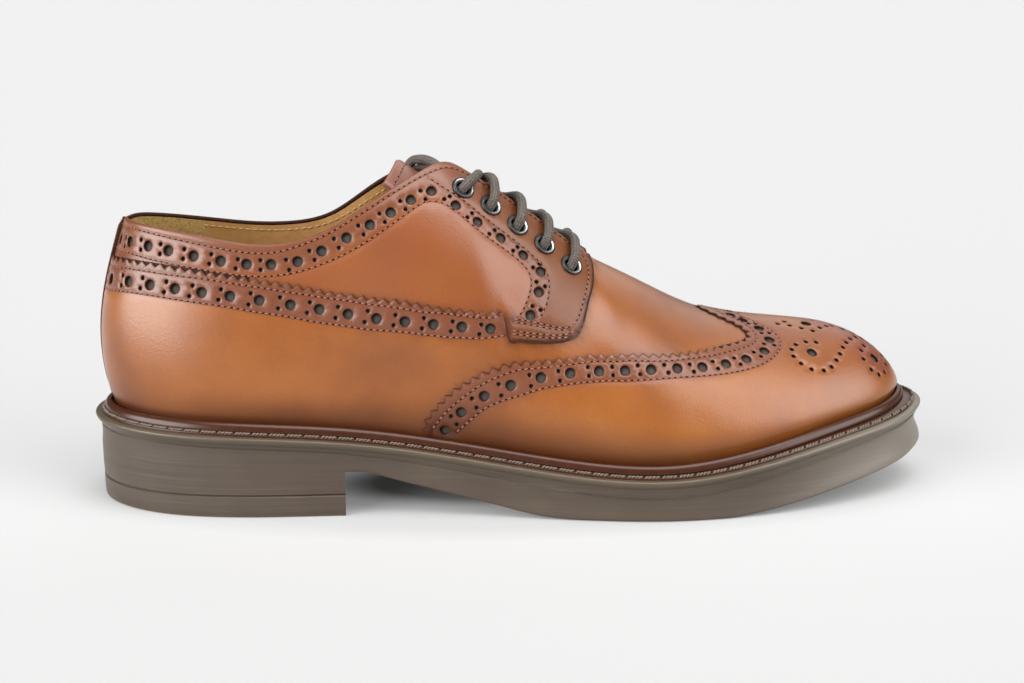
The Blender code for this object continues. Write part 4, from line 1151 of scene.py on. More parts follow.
def beadTemplate():
    points = []
    for along, size, rise in beadRings:
        for k in range(beadSides):
            a = 2 * math.pi * k / beadSides
            points.append((along, size * math.cos(a), size * math.sin(a) * 0.8 + rise))
    faces = []
    for r in range(len(beadRings) - 1):
        for k in range(beadSides):
            j = (k + 1) % beadSides
            faces.append((r * beadSides + k, (r + 1) * beadSides + k, (r + 1) * beadSides + j, r * beadSides + j))
    faces.append(tuple(range(beadSides)))
    last = (len(beadRings) - 1) * beadSides
    faces.append(tuple(range(last + beadSides - 1, last - 1, -1)))
    return np.array(points), faces


bead, beadFaces = beadTemplate()
pitSides = 8
pit = roundTurn(pitSides, np.array([1.0, 0.0, 0.0]), np.array([0.0, 1.0, 0.0]))


def sewLine(heap, solid, normal, length, thick, pits=True, sink=0.0, index=0):
    along = unit(np.gradient(solid, axis=0))
    across = unit(np.cross(normal, along))
    for i in range(len(solid)):
        frameAxes = np.array([along[i] * length, across[i] * thick, normal[i] * thick])
        heap.add(bead @ frameAxes + solid[i] - normal[i] * sink, beadFaces, index)
        # a flat dark disc between the beads: painted shade for the needle hole
        if pits and i + 1 < len(solid):
            between = (solid[i] + solid[i + 1]) / 2 + normal[i] * 0.06
            pitAxes = np.array([along[i] * 0.55, across[i] * 0.3, normal[i]])
            heap.add(pit @ pitAxes + between, [tuple(range(pitSides))], index + 1)


stitches = Heap()
floors = Heap()
floorShade = []


def sewRow(side, stops, lift):
    line = traceRow(side, stops, seam["pitch"])
    line = (line[:-1] + line[1:]) / 2
    u, t = fromFlat(line)
    height = lift(u, t, line) * footTuck(t) - seam["groove"] * 0.8
    sewLine(stitches, lifted(side, u, t, height), skinNormal(side, u, t), seam["length"], seam["thick"])


def floorHole(side, spot, radius, lift):  # felt, with a painted shadow towards the upper back
    count, rings = punch["sides"], []
    angle = np.linspace(0, 2 * math.pi, count, endpoint=False)
    smallHoleShade = 0.3 if radius < 1 else 0  # painted shade: small holes are darker, as deeper in shadow
    for share in punch["rings"]:
        loop = circleOn(side, spot, radius * share, count)
        u, t = fromFlat(loop)
        rings.append(lifted(side, u, t, lift(u, t, loop) * footTuck(t) - punch["floor"]))
        floorShade.extend(np.clip(0.5 * share + 0.7 * share * np.cos(angle + math.pi / 4) + smallHoleShade, 0, 1))
    faces = loftFaces(count, len(rings)) + [tuple(range((len(rings) - 1) * count, len(rings) * count))]
    if side == "inner":
        faces = [f[::-1] for f in faces]
    floors.add(np.vstack(rings), faces)


for sideName in sides:
    for part, key in ((quarter, "quarter"), (foxing, "foxing"), (wing, "wing")):
        for stops in part["rows"]:
            sewRow(sideName, stops, liftOf[sideName, key])
        for spot, radius, _ in holesOf(part):
            floorHole(sideName, spot, radius, liftOf[sideName, key])
    for spot, radius, _ in medallionOf[sideName]:
        floorHole(sideName, spot, radius, liftOf[sideName, "wing"])
stitches.piece("seamStitches", [sewingThread, needleHoleShade], "upper_leather")
floors.piece("punchedFloors", [holeFloor], "upper_leather", attributes={"shade": floorShade})
print("stitches sewn and holes backed")


# backing, lining, rim and back strip
def skinGrid(side, us, ts, lift):
    u, t = (grid.ravel() for grid in np.meshgrid(us, ts, indexing="ij"))
    return lifted(side, u, t, np.full(len(u), lift))


lining = {"depth": -2.0, "backing": -1.75, "seamRow": 3.7, "top": 0.985, "up": 34}
linerHeap, backHeap = Heap(), Heap()
ts = np.linspace(-wallShare, lining["top"], lining["up"])
for sideName in sides:
    for first, last, index in ((0.0, lining["seamRow"], 0), (lining["seamRow"], float(lastRow), 1)):
        us = np.linspace(first, last, max(20, int((last - first) * 5)))
        grid = skinGrid(sideName, us, ts, lining["depth"])
        linerHeap.add(grid, gridFaces(len(us), len(ts), sideName == "outer"), index)
    us = np.linspace(0, lastRow, 140)
    grid = skinGrid(sideName, us, ts, lining["backing"])
    backHeap.add(grid, gridFaces(len(us), len(ts), sideName == "inner"))
linerHeap.piece("lining", [nappedLining, smoothLining], "lining_leather")
backHeap.piece("interlining", [cutEdge], "upper_leather", replaces=("upper",))

rim = {"high": 0.75, "sunk": 0.35, "steps": 9, "along": 240}
rimHeap = Heap()
us = np.linspace(0, tabEnd, rim["along"])
atTop = np.ones(len(us))
split = rim["steps"] // 2  # leather outside, cut edge inside
rimIndices = ([0] * split + [1] * (rim["steps"] - 1 - split)) * (len(us) - 1)
for sideName in sides:
    top = skin(sideName, us, atTop)
    along = unit(np.gradient(top, axis=0))
    outwardWay = skinNormal(sideName, us, atTop)
    upWay = unit(np.cross(outwardWay, along) * -handOf[sideName])
    climb = (upWay * (top - skin(sideName, us, np.full(len(us), 0.97)))).sum(-1)
    upWay = np.where(climb[:, None] < 0, -upWay, upWay)
    outerLift = liftOf[sideName, "quarter"](us, atTop, toFlat(us, atTop)) - panelCut["edgeRound"]
    mid, half = (outerLift + lining["depth"]) / 2, (outerLift - lining["depth"]) / 2
    rings = [
        top + outwardWay * (mid + half * math.cos(a))[:, None] + upWay * (rim["high"] * math.sin(a) - rim["sunk"])
        for a in np.linspace(0, math.pi, rim["steps"])
    ]
    faces = gridFaces(len(us), rim["steps"], sideName == "outer")
    rimHeap.add(np.stack(rings, axis=1).reshape(-1, 3), faces, rimIndices)
size = sum(len(points) for points in rimHeap.points)
rimHeap.piece(
    "collarRim",
    [tanCalf, cutEdge],
    "upper_leather",
    attributes={"band": np.full(size, 0.9), "burnish": np.full(size, 0.12), "toe": np.zeros(size)},
)

strip = {  # half width in stations, then rows from its edge to the middle: share out, lift, burnish
    "half": 0.11,
    "rows": [(1.0, -0.6, 0.95), (1.0, 0.8, 0.8), (0.8, 0.95, 0.35), (0.0, 1.05, 0.2)],
}
stripHeap = Heap()
ts = np.linspace(-wallShare, 1.0, 60)
stripRows = [("outer", *row) for row in strip["rows"]] + [("inner", *row) for row in strip["rows"][-2::-1]]
tuck = np.maximum(footTuck(ts), 0.85)  # in a little at the foot
tipIn = 0.9 * smoothStep((ts - 0.93) / 0.07)  # and under the collar's rim
stripLines = [
    lifted(sideName, np.full(len(ts), strip["half"] * share), ts, lift * tuck - tipIn)
    for sideName, share, lift, _ in stripRows
]
stripHeap.add(np.vstack(stripLines), gridFaces(len(stripRows), len(ts), True))
burnish = np.repeat([row[-1] for row in stripRows], len(ts))
stripTones = {"band": np.ones(len(burnish)), "burnish": burnish, "toe": 0 * burnish}
stripHeap.piece("backStrip", [tanCalf], "upper_leather", attributes=stripTones)

linerStitches = Heap()
for sideName in sides:
    line = traceRow(sideName, [(u, 0.955) for u in np.linspace(lining["seamRow"], 12.5, 14)], 2.6)
    u, t = fromFlat(line)
    solid = lifted(sideName, u, t, np.full(len(u), lining["depth"] - 0.1))
    sewLine(linerStitches, solid, -skinNormal(sideName, u, t), 1.9, 0.3, pits=False)
linerStitches.piece("liningStitches", [liningThread], "lining_leather")
print("lining and rims made")


# sole: fine lofts through loops round the rim
soleSteps = 200
soleSharp = 38.0


def soleLoop(setIn, height, steps=soleSteps, last=1.0):
    s = np.linspace(0.0, last, steps + 1)
    rows = []
    for side in sides:
        x = outlinePoint(side, s)[:, 0]
        depth = setIn(x) if callable(setIn) else np.full(len(s), float(setIn))
        z = height(x) if callable(height) else np.full(len(s), float(height))
        rows.append(np.column_stack([outlinePoint(side, s) - outwardAt(side, s) * depth[:, None], z]))
    inside = rows[1][1:-1] if last == 1.0 else rows[1][1:]
    return np.vstack([rows[0], inside[::-1]])


breast = {"x": 91.0, "hollow": 3.5, "steps": 24, "side": 90}


def heelLoop(setIn, height):
    loop = soleLoop(setIn, height, breast["side"], float(placeOnOutline(breast["x"])))
    first, second = loop[breast["side"]], loop[breast["side"] + 1]
    across = np.linspace(0, 1, breast["steps"] + 1)[1:-1, None]
    line = first + (second - first) * across
    line[:, 0] -= breast["hollow"] * 4 * across[:, 0] * (1 - across[:, 0])
    return np.vstack([loop[: breast["side"] + 1], line, loop[breast["side"] + 1 :]])


def rungFaces(first, steps, upward):
    count, faces = 2 * steps, []
    for i in range(steps):
        face = [first + i, first + i + 1, first + (count - i - 1) % count, first + (count - i) % count]
        if i == 0:
            face = face[:3]
        elif i == steps - 1:
            face = [face[0], face[1], face[3]]
        faces.append(tuple(face if upward else face[::-1]))
    return faces


def soleSolid(name, loops, materials, slotName, replaces, indexOf=lambda level, x: 0):
    count = len(loops[0])
    faces = loftFaces(count, len(loops))
    bands = [indexOf(level, point[0]) for level in range(len(loops) - 1) for point in loops[0]]
    caps = rungFaces(0, count // 2, False) + rungFaces(count * (len(loops) - 1), count // 2, True)
    bands += [bands[-1]] * len(caps)
    addPiece(name, np.vstack(loops), faces + caps, materials, slotName, replaces, bands, sharp=soleSharp)


def heelSolid(name, loops, materials, slotName, replaces, indices):
    count = len(loops[0])
    faces = loftFaces(count, len(loops))
    faces += [tuple(range(count))[::-1], tuple(range(count * (len(loops) - 1), count * len(loops)))]
    bands = [k for k in indices for _ in range(count)] + [0, 0]
    addPiece(name, np.vstack(loops), faces, materials, slotName, replaces, bands, sharp=soleSharp)


# moulded rubber, taupe: matt, with faint streaks along the edge where the layers were buffed, and a painted sheen
# that makes the toe paler
rubber = {
    "shades": ["#3F332A", "#43382E", "#493E32"],
    "lip": ["#453A2D", "#4E4233"],
    "worn": ["#46392A", "#524232"],
    # painted sheen: the toe wall is mixed towards this paler colour
    "toe": "#6B6359",
    "streakMm": 0.9,
}


def makeRubber(name, shades, roughness):
    material, tree, shader = newMaterial(name, shades[0], roughness)
    spot = addNode(tree, "ShaderNodeTexCoord").outputs["Object"]
    stretch = addNode(
        tree, "ShaderNodeMapping", {"Scale": (18.0, 18.0, 1000.0 / rubber["streakMm"])}, {"Vector": spot}
    ).outputs["Vector"]
    streak, cloud = (
        addNode(tree, "ShaderNodeTexNoise", {"Scale": scale, "Detail": detail}, {"Vector": place}).outputs["Fac"]
        for scale, detail, place in ((1.0, 3.0, stretch), (45.0, 4.0, spot))
    )
    both = addNode(tree, "ShaderNodeMath", {"operation": "ADD"}, {0: streak, 1: cloud}).outputs["Value"]
    half = addNode(tree, "ShaderNodeMath", {"operation": "MULTIPLY", 1: 0.5}, {0: both}).outputs["Value"]
    stops = [(0.35 + 0.3 * i / (len(shades) - 1), c) for i, c in enumerate(shades)]
    colour = addNode(tree, "ShaderNodeValToRGB", {"stops": stops}, {"Fac": half}).outputs["Color"]
    along = addNode(tree, "ShaderNodeSeparateXYZ", links={"Vector": spot}).outputs["X"]
    toeSheenRange = {"interpolation_type": "SMOOTHSTEP", "From Min": 0.07, "From Max": 0.15, "To Max": 0.85}
    toe = addNode(tree, "ShaderNodeMapRange", toeSheenRange, {"Value": along}).outputs["Result"]  # painted sheen: paler at the toe
    colour = addNode(
        tree,
        "ShaderNodeMix",
        {"data_type": "RGBA", mixOver: linear(rubber["toe"])},
        {mixShare: toe, mixUnder: colour},
    ).outputs[mixResult]
    tree.links.new(colour, shader.inputs["Base Color"])
    bump = addNode(tree, "ShaderNodeBump", {"Strength": 0.35, "Distance": 0.00025}, {"Height": streak})
    tree.links.new(bump.outputs["Normal"], shader.inputs["Normal"])
    return material


soleRubber = makeRubber("mouldedRubber", rubber["shades"], 0.4)
lipRubber = makeRubber("buffedRubber", rubber["lip"], 0.38)
wornRubber = makeRubber("wornRubber", rubber["worn"], 0.5)  # amber brown at the tread's lower edge


def aboveRim(height):
    return lambda x: rimTop(x) + height


def aboveTread(height):
    return lambda x: treadZ(x) + height


def midsoleBottom(x):
    return rimTop(x) - midsoleThick(x)


def toeFlare(setIn, amount=2.0):
    return lambda x: setIn - amount * np.clip((x - 235.0) / 60.0, 0.0, 1.0)


heelFlush = 1.78  # how far in from the rim the heel's top edge stands


def treadEdge(setIn):  # flush with the heel, rounded over in front of it
    flare = toeFlare(setIn)
    return lambda x: heelFlush + (flare(x) - heelFlush) * smoothStep((x - 93.0) / 5.0)


heelSolid(
    "heelTopLift",
    [heelLoop(a, z) for a, z in ((3.0, 0.0), (2.3, 0.35), (2.05, 1.0), (1.9, 4.0), (1.95, 7.35), (2.5, 7.85))],
    [soleRubber, wornRubber],
    "heel_rubber",
    ("top_lift",),
    [1, 1, 0, 0, 0],
)
heelSolid(
    "heelStack",
    [heelLoop(a, z) for a, z in ((2.5, 7.9), (1.95, 8.35), (1.8, 12.0), (heelFlush, 16.25))],
    [soleRubber],
    "sole_rubber",
    ("heel_block",),
    [0, 0, 0],
)


def jointEdge(x):  # a groove at the heel, a fine moulded bead further forward
    return 2.15 - 0.75 * smoothStep((x - 140.0) / 40.0)


def aboveJoint(height):
    return lambda x: midsoleBottom(x) + height


bevel = 3.6  # the tread's edge is rounded over this height
jointLoop = soleLoop(jointEdge, aboveJoint(-0.08))
treadEdges = ((2.25, 0.3), (1.75, 1.0), (1.85, 2.0), (2.3, bevel))
outsoleLoops = [soleLoop(treadEdge(3.0), treadZ)]
outsoleLoops += [soleLoop(treadEdge(a), aboveTread(h)) for a, h in treadEdges]
outsoleLoops += [
    soleLoop(2.1, lambda x: (treadZ(x) + bevel + midsoleBottom(x)) / 2),
    soleLoop(1.95, aboveJoint(-0.3)),
    jointLoop,
]
soleSolid(
    "outsoleTread",
    outsoleLoops,
    [soleRubber, wornRubber],
    "sole_rubber",
    ("outsole",),
    lambda level, x: int(level < 2 and x > 97),
)
lipRound = [
    (1.72, 3.5), (1.4, 3.0), (0.95, 2.5), (0.45, 1.95), (0.12, 1.4), (0.0, 0.95), (0.1, 0.5), (0.42, 0.14),
    (1.0, 0.0), (2.6, 0.0),
]
midLoops = [jointLoop, soleLoop(1.9, aboveJoint(0.2))] + [soleLoop(a, aboveRim(-h)) for a, h in lipRound]
soleSolid(
    "midsoleRim",
    midLoops,
    [soleRubber, lipRubber],
    "sole_rubber",
    ("midsole",),
    lambda level, x: int(level > 1),
)


def fromUpper(step):
    return lambda x: feather(x) + step


ledge = [(2.4, 0.05), (2.4, 0.45), (2.5, 0.75), (2.65, 0.85), (2.8, 0.8), (3.05, 0.5), (3.4, 0.9)]
beadRound = [
    (3.1, 0.95), (3.1, 1.4), (3.0, 2.2), (2.7, 3.0), (2.25, 3.6), (1.65, 4.0), (1.1, 4.1), (0.6, 3.95),
    (0.25, 3.55), (0.0, 3.0),
]
# levels 4 and 5 are the stitch groove; 7, 14 and 15 are painted shade on the bead's lower flank and in its crease
# against the upper
grooveAndShadeLevels = (4, 5, 7, 14, 15)
weltLoops = [soleLoop(a, aboveRim(h)) for a, h in ledge]
weltLoops += [soleLoop(fromUpper(-0.3 - a), aboveRim(h)) for a, h in beadRound]
weltLoops += [soleLoop(fromUpper(0.6), aboveRim(h)) for h in (2.6, 0.05)]
addPiece(
    "weltStrip",
    np.vstack(weltLoops),
    loftFaces(2 * soleSteps, len(weltLoops), closed=True),
    [waxedWelt, weltGrooveAndShade],
    "welt_leather",
    ("welt",),
    [int(level in grooveAndShadeLevels) for level in range(len(weltLoops)) for _ in range(2 * soleSteps)],
    sharp=60.0,
)

weltSeam = {
    "pitch": 5.9,
    "plies": 4,
    "plyPitch": 1.25,
    "length": 2.0,
    "thick": 0.42,
    "high": 0.5,
    "setIn": 3.0,
    "height": 0.95,
}
weltRow = soleLoop(weltSeam["setIn"], aboveRim(weltSeam["height"]), 1200)
closedRow = np.vstack([weltRow, weltRow[:1]])
run = lengthTo(closedRow)
even = np.linspace(0, run[-1], int(run[-1] / weltSeam["pitch"]), endpoint=False)
weltSpots, ahead = (
    np.column_stack([np.interp(even + step, run, closedRow[:, k]) for k in range(3)]) for step in (0.0, 1.0)
)
weltHeap = Heap()
up = np.array([0.0, 0.0, 1.0])
plies = np.arange(weltSeam["plies"]) - (weltSeam["plies"] - 1) / 2
for here, along in zip(weltSpots, unit(ahead - weltSpots)):
    slant = unit(along * 0.8 + unit(np.cross(up, along)) * 0.6)
    axes = np.array([slant * weltSeam["length"], np.cross(up, slant) * weltSeam["thick"], up * weltSeam["high"]])
    for ply in plies:  # twisted plies show as short slanted strokes
        weltHeap.add(bead @ axes + here + along * ply * weltSeam["plyPitch"], beadFaces)
weltHeap.piece("weltStitches", [weltThread], "welt_leather")

insoleEdge = ((0.4, 0.3), (0.4, 2.4), (0.7, 2.75), (1.3, 2.9), (8.0, 2.9))
insoleLoops = [soleLoop(fromUpper(2.3 + a), aboveRim(h)) for a, h in insoleEdge]
soleSolid("sockLining", insoleLoops, [smoothLining], "lining_leather", ("insole",))
print("sole and welt made")

# tongue: a bent leaf under the lace gap, rounded at its cut end
tongue = {
    "rows": [  # x, y, z, half width
        (110.8, 2.0, 120.6, 18.6), (120.0, 2.0, 114.2, 18.8), (135.0, 2.0, 105.2, 19.5),
        (152.0, 2.0, 95.3, 19.5),
        (170.0, 1.8, 85.2, 18.5), (184.0, 1.7, 77.6, 16.5), (194.0, 1.7, 71.8, 15.0),
    ],
    "thick": 2.0,
    "bend": 21.0,
}
tongueTable = np.array(tongue["rows"])
tongueCurves = [naturalSpline(np.arange(len(tongueTable)), tongueTable[:, k]) for k in range(4)]


def tonguePoint(u, share, depth):
    u = u + 0.75 * (1 - u / 6.0) * np.clip(share + 0.15, 0.0, 1.2)  # cut aslant: shorter on the inner side
    here = np.stack([tongueCurves[k](u) for k in range(3)], axis=-1)
    way = np.stack([tongueCurves[k](u + 0.01) - tongueCurves[k](u - 0.01) for k in range(3)], axis=-1)
    square = unit(np.stack([-way[..., 2], np.zeros_like(way[..., 0]), way[..., 0]], axis=-1))
    y = share * tongueCurves[3](u)
    sag = y * y / (2 * tongue["bend"])
    tilt = y / tongue["bend"]
    sideWay = np.array([0.0, 1.0, 0.0])
    across = y[..., None] * sideWay
    normal = unit(square + tilt[..., None] * sideWay)
    return here + across - square * sag[..., None] - normal * depth[..., None]


def closedLeaf(place, us, shares, thick, roundness):
    u, share = (grid.ravel() for grid in np.meshgrid(us, shares, indexing="ij"))
    fromEnd, fromSide = np.minimum(u - us[0], us[-1] - u) * 14.0, (1 - np.abs(share)) * 16.0  # about mm
    edge = np.minimum(fromEnd, fromSide)
    drop = roundness * (1 - np.sqrt(1 - (1 - np.clip(edge / roundness, 0, 1)) ** 2))
    top, bottom = place(u, share, drop), place(u, share, thick - drop)
    rows, columns = len(us), len(shares)
    count = rows * columns
    faces = gridFaces(rows, columns, False) + [tuple(i + count for i in f) for f in gridFaces(rows, columns, True)]
    loop = [i * columns for i in range(rows)] + [(rows - 1) * columns + j for j in range(1, columns)]
    loop += [i * columns + columns - 1 for i in range(rows - 2, -1, -1)] + list(range(columns - 2, 0, -1))
    faces += [(a, b, b + count, a + count)[::-1] for a, b in zip(loop, loop[1:] + loop[:1])]
    return np.vstack([top, bottom]), faces


edgeStops = np.array([0.0, 0.02, 0.05, 0.1])
tongueUs = np.concatenate([edgeStops, np.linspace(0.16, 6.0, 60)])
tongueShares = np.concatenate([-1 + edgeStops, np.linspace(-0.86, 0.86, 30), 1 - edgeStops[::-1]])
points, faces = closedLeaf(tonguePoint, tongueUs, tongueShares, tongue["thick"], 0.9)
addPiece("tongueLeaf", points, faces, [tongueCalf], "upper_leather", ("tongue",))
tongueStitches = Heap()
shares = np.linspace(-0.9, 0.9, 14)
row, rowDeeper = (tonguePoint(np.full(len(shares), 0.34), shares, np.full(len(shares), d)) for d in (0.0, 1.0))
sewLine(tongueStitches, row, unit(row - rowDeeper), 1.7, 0.32)
tongueStitches.piece("tongueStitches", [sewingThread, needleHoleShade], "upper_leather")

# vamp root: the vamp runs down under the facings and into the tongue
root = {"from": 20.0, "to": 15.4, "steps": 26, "across": 21, "beyond": 0.35}
rootRows = []
for u in np.linspace(root["from"], root["to"], root["steps"]):
    a, b = (skin(side, np.array(u), np.array(1.0)) for side in sides)
    sink = smoothStep(np.array((root["from"] - u) / (root["from"] - root["to"])))
    beyond = root["beyond"] if u < 19.9 else 0.0
    w = np.linspace(-beyond, 1 + beyond, root["across"])
    line = a + (b - a) * w[:, None]
    over = np.interp(line[:, 0], tongueTable[:, 0], tongueTable[:, 2])
    bow = -((line[:, 1] - 1.8) ** 2) / 40.0
    line[:, 2] = (line[:, 2] + 0.2 - 1.2 * sink) * (1 - sink) + (over + bow + 0.6) * sink
    rootRows.append(line)
rootHeap = Heap()
rootHeap.add(np.vstack(rootRows), gridFaces(root["steps"], root["across"], False))
rootHeap.piece("vampRoot", [tongueCalf], "upper_leather")
print("tongue made")

# eyelets: rolled rings, dark outside with a bright inner lip
ring = {
    "profile": [
        (2.5, -2.2), (2.5, -0.9), (2.55, -0.3), (2.7, 0.05), (2.95, 0.3), (3.25, 0.48), (3.55, 0.6),
        (3.8, 0.62), (4.05, 0.48), (4.2, 0.2), (4.15, -0.1),
    ],
    "lip": (1, 6),
    "sides": 36,
}
eyeletHeap = Heap()
eyeletPlace = {}
count = ring["sides"]
ringFaces = [(i, count + i, count + (i + 1) % count, (i + 1) % count) for i in range(count)]
for sideName in sides:
    for number, spot in enumerate(eyelets, start=1):
        u, t = (np.array([value]) for value in eyeletSpot(sideName, *spot))
        lift = liftOf[sideName, "quarter"](u, t, toFlat(u, t))
        normal = skinNormal(sideName, u, t)[0]
        centre = skin(sideName, u, t)[0] + normal * lift[0]
        eyeletPlace[sideName, number] = (centre, normal)
        first = unit(np.cross(normal, [1.0, 0.0, 0.0]))
        around = roundTurn(count, first, np.cross(normal, first))
        rows = [centre + around * r + normal * h for r, h in ring["profile"]]
        for k in range(len(rows) - 1):
            eyeletHeap.add(np.vstack(rows[k : k + 2]), ringFaces, int(ring["lip"][0] <= k < ring["lip"][1]))
eyeletNodes = [f"eyelet_{side}_{n}" for side in sides for n in range(1, len(eyelets) + 1)]
eyeletRings = eyeletHeap.piece("eyeletRings", [gunmetal, brightLip], "eyelet_metal", replaces=eyeletNodes)
cleanPiece(eyeletRings, 0.002)

# lace: round waxed braid, about 3.4 mm, with a herringbone of yarns
lace = {"radius": 1.72, "yarnMm": 1.2, "yarns": 5.0, "sides": 14, "step": 0.7, "sharp": 60.0}


def makeBraid(name):
    material, tree, shader = newMaterial(name, "#5A5449", 0.62)
    shader.inputs["Sheen Weight"].default_value = 0.06
    place = addNode(tree, "ShaderNodeUVMap", {"uv_map": "lay"})
    parts = addNode(tree, "ShaderNodeSeparateXYZ", links={"Vector": place.outputs["UV"]})
    waves = []
    for turn in (lace["yarns"], -lace["yarns"]):
        angle = addNode(
            tree,
            "ShaderNodeMath",
            {"operation": "MULTIPLY_ADD", 1: turn},
            {0: parts.outputs["Y"], 2: parts.outputs["X"]},
        )
        wave = addNode(tree, "ShaderNodeMath", {"operation": "SINE"}, {0: angle.outputs["Value"]})
        waves.append(wave.outputs["Value"])
    top = addNode(tree, "ShaderNodeMath", {"operation": "MULTIPLY"}, {0: waves[0], 1: waves[1]})
    spot = addNode(tree, "ShaderNodeTexCoord").outputs["Object"]
    fibre = addNode(tree, "ShaderNodeTexNoise", {"Scale": 1400.0, "Detail": 2.0}, {"Vector": spot})
    fleck = addNode(
        tree,
        "ShaderNodeMath",
        {"operation": "MULTIPLY_ADD", 1: 0.22},
        {0: top.outputs["Value"], 2: fibre.outputs["Fac"]},
    )
    yarn = [(0.25, "#302723"), (0.5, "#463D36"), (0.75, "#60574E")]
    tone = addNode(tree, "ShaderNodeValToRGB", {"stops": yarn}, {"Fac": fleck.outputs["Value"]})
    tree.links.new(tone.outputs["Color"], shader.inputs["Base Color"])
    relief = {"Strength": 0.55, "Distance": 0.00025}
    bump = addNode(tree, "ShaderNodeBump", relief, {"Height": top.outputs["Value"]})
    tree.links.new(bump.outputs["Normal"], shader.inputs["Normal"])
    return material


waxedBraid = makeBraid("waxedBraid")


def smoothPath(stops, step):
    stops = np.asarray(stops, float)
    run = lengthTo(stops)
    even = np.linspace(0, run[-1], max(8, int(run[-1] / step)))
    return np.column_stack([naturalSpline(run, stops[:, k])(even) for k in range(3)])


def tubeAlong(path, radius, count):
    along = unit(np.gradient(path, axis=0))
    side = unit(np.cross(along[0], [0.3, 0.9, 0.2]))
    rings = []
    for point, way in zip(path, along):
        side = unit(side - way * (side @ way))
        rings.append(point + radius * roundTurn(count, side, np.cross(way, side)))
    return np.vstack(rings)


def addLace(name, paths, replaces):
    heap, lay, count = Heap(), [], lace["sides"]
    for path in paths:
        along = lengthTo(path) / lace["yarnMm"] * 2 * math.pi
        around = [2 * math.pi * k / count for k in range(count + 1)]
        for x0, x1 in zip(along, along[1:]):
            for y0, y1 in zip(around, around[1:]):
                lay += [(x0, y0), (x0, y1), (x1, y1), (x1, y0)]
        lay += [(0.0, 0.0)] * (2 * count)  # the two ends
        firstEnd, lastEnd = (tuple(range(i * count, (i + 1) * count)) for i in (0, len(path) - 1))
        faces = loftFaces(count, len(path)) + [firstEnd[::-1], lastEnd]
        heap.add(tubeAlong(path, lace["radius"], count), faces)
    piece = heap.piece(name, [waxedBraid], "lace_cord", replaces=replaces, sharp=lace["sharp"])
    layer = piece.data.uv_layers.new(name="lay")
    layer.data.foreach_set("uv", np.array(lay, np.float32).ravel())


def edgeAt(side, x):
    u, top = np.array(stationAt(side, x)), np.array(1.0)
    return skin(side, u, top), skinNormal(side, u, top)


def laceRun(side, far, number):
    spot, square = eyeletPlace[side, number]
    x = eyelets[number - 1][0]
    nearEdge, nearWay = edgeAt(side, x + 1.6)
    farEdge, farWay = edgeAt(far, x - 6.0)
    toEdge = unit(nearEdge - spot)
    inward = np.array([0.0, math.copysign(1.0, nearEdge[1] - farEdge[1]), 0.0])
    stops = [
        spot - square * 4.6 - toEdge * 1.2,
        spot - square * 0.6 - toEdge * 0.2,
        spot + square * 2.4 + toEdge * 1.6,
        spot * 0.45 + nearEdge * 0.55 + (square + nearWay) * 0.5 * (lace["radius"] + 1.5),
        nearEdge + nearWay * (lace["radius"] + 1.0) - toEdge * 0.4,
        nearEdge + nearWay * (lace["radius"] - 0.5) + toEdge * 2.6,
        (nearEdge + farEdge) / 2 + nearWay * (0.2 if side == "outer" else -1.6),
    ]
    if number > 2:  # dives under the far facing and up to the next eyelet
        farSpot, farSquare = eyeletPlace[far, number - 1]
        stops += [
            farEdge + inward * 3.2 - farWay * 2.2,
            farEdge - farWay * 5.4 - inward * 2.0,
            farSpot - farSquare * 5.0,
        ]
    else:  # the top pair goes over the far edge and down into the last eyelet
        farSpot, farSquare = eyeletPlace[far, 1]
        farOver, farUp = edgeAt(far, eyelets[0][0] + 6.4)
        toSpot = unit(farSpot - farOver)
        stops += [
            farOver + farUp * (lace["radius"] - 2.4) - toSpot * 2.4,
            farOver + farUp * (lace["radius"] - 1.5) + toSpot * 1.2,
            farSpot + farSquare * (lace["radius"] + 0.8) - toSpot * 3.4,
            farSpot + farSquare * 0.2,
            farSpot - farSquare * 3.8,
        ]
    return smoothPath(stops, lace["step"])


runs = [laceRun(side, far, n) for n in range(2, 6) for side, far in (("outer", "inner"), ("inner", "outer"))]
addLace("laceRuns", runs, [f"lace_crossing_{n}" for n in range(1, 5)])
barStops = np.array(
    [
        (113.8, 16.5, 113.4), (115.7, 12.0, 117.6), (118.4, 7.0, 119.3), (122.0, 2.0, 119.4),
        (125.4, -3.5, 117.7),
        (128.0, -8.6, 114.6), (129.6, -13.0, 110.2),
    ]
)
barSteps = [(0.0, 0.0, 0.0), (3.16, 0.0, -2.24), (1.2, 0.0, -3.4)]
addLace("laceEnds", [smoothPath(barStops + step, lace["step"]) for step in barSteps], ["lace_bar"])
print("laced up")

# stage: pale floor out to the horizon, lit by a soft sky with four broad soft boxes in it
stage = {  # painted light: the floor glows, more near the shoe than far off, so its shadows stay pale
    "floor": "#A2A2A2",
    "reach": 30.0,
    "size": (0.3, 0.12),
    "glow": [  # share of five sizes out, strength of the painted glow
        (0.036, 0.02), (0.05, 0.18), (0.085, 0.13), (0.11, 0.24), (0.15, 0.21), (0.2, 0.185), (0.3, 0.17),
        (0.6, 0.165),
    ],
}
floorMesh = bpy.data.meshes.new("floor")
corners = [(x * stage["reach"], y * stage["reach"], 0.0) for x, y in ((-1, -1), (1, -1), (1, 1), (-1, 1))]
floorMesh.from_pydata(corners, [], [(0, 1, 2, 3)])
floor = bpy.data.objects.new("floor", floorMesh)
bpy.context.scene.collection.objects.link(floor)
white = (1.0, 1.0, 1.0, 1.0)
glowingFloor, tree, shader = newMaterial(
    "glowingFloorPaintedLight", stage["floor"], 0.9, **{"Specular IOR Level": 0.0, "Emission Color": white}
)
spot = addNode(tree, "ShaderNodeTexCoord").outputs["Object"]
scale = (0.2 / stage["size"][0], 0.2 / stage["size"][1], 0.0)
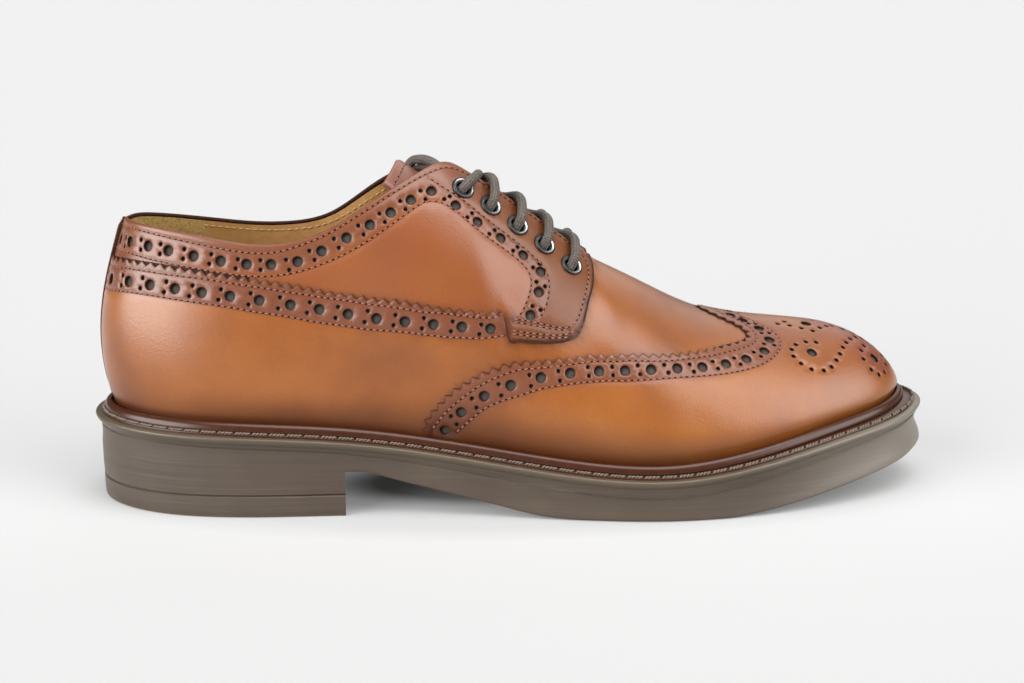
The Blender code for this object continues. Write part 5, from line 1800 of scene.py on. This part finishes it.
scaled = addNode(tree, "ShaderNodeMapping", {"Scale": scale}, {"Vector": spot})
away = addNode(tree, "ShaderNodeVectorMath", {"operation": "LENGTH"}, {0: scaled.outputs["Vector"]})
glow = addNode(tree, "ShaderNodeValToRGB", {"stops": stage["glow"]}, {"Fac": away.outputs["Value"]})
tree.links.new(glow.outputs["Color"], shader.inputs["Emission Strength"])
floorMesh.materials.append(glowingFloor)

sky = {
    "base": 0.12,
    "soft": (1.5, 0.5),  # each box fades from the first of these half widths to the second
    "boxes": [  # degrees round from the camera's side to the toe, degrees up, half width, brightness
        (61.0, 25.0, 24.0, 5.0),
        (-60.0, 14.0, 25.0, 9.0),
        (160.0, 44.0, 26.0, 1.05),
        (24.0, 72.0, 20.0, 5.6),
    ],
}
world = bpy.data.worlds.new("studio")
world.use_nodes = True
bpy.context.scene.world = world
tree = world.node_tree
direction = addNode(tree, "ShaderNodeTexCoord").outputs["Generated"]
total = None
for around, up, wide, bright in sky["boxes"]:
    around, up = math.radians(around), math.radians(up)
    way = (math.sin(around) * math.cos(up), -math.cos(around) * math.cos(up), math.sin(up))
    facing = addNode(tree, "ShaderNodeVectorMath", {"operation": "DOT_PRODUCT", 1: way}, {0: direction})
    fadeFrom, fadeTo = (math.cos(math.radians(wide * share)) for share in sky["soft"])
    base = 0.0 if total else sky["base"]
    settings = {"From Min": fadeFrom, "From Max": fadeTo, "To Min": base, "To Max": base + bright}
    settings["interpolation_type"] = "SMOOTHSTEP"
    glow = addNode(tree, "ShaderNodeMapRange", settings, {"Value": facing.outputs["Value"]}).outputs["Result"]
    if total:
        glow = addNode(tree, "ShaderNodeMath", {"operation": "ADD"}, {0: total, 1: glow}).outputs["Value"]
    total = glow
tree.links.new(total, tree.nodes["Background"].inputs["Strength"])
tree.nodes["Background"].inputs["Color"].default_value = white


def aim(thing, place, target):
    place, target = (Vector(toMetres(p).tolist()) for p in (place, target))
    thing.location = place
    thing.rotation_euler = (target - place).to_track_quat("-Z", "Y").to_euler()


cameraData = bpy.data.cameras.new("camera")
cameraData.lens = view["lens"]
cameraData.sensor_width = 36.0
camera = bpy.data.objects.new("camera", cameraData)
bpy.context.scene.collection.objects.link(camera)
aim(camera, view["place"], view["target"])
bpy.context.scene.camera = camera
bpy.context.scene.view_settings.view_transform = "Standard"

print("scene ready")
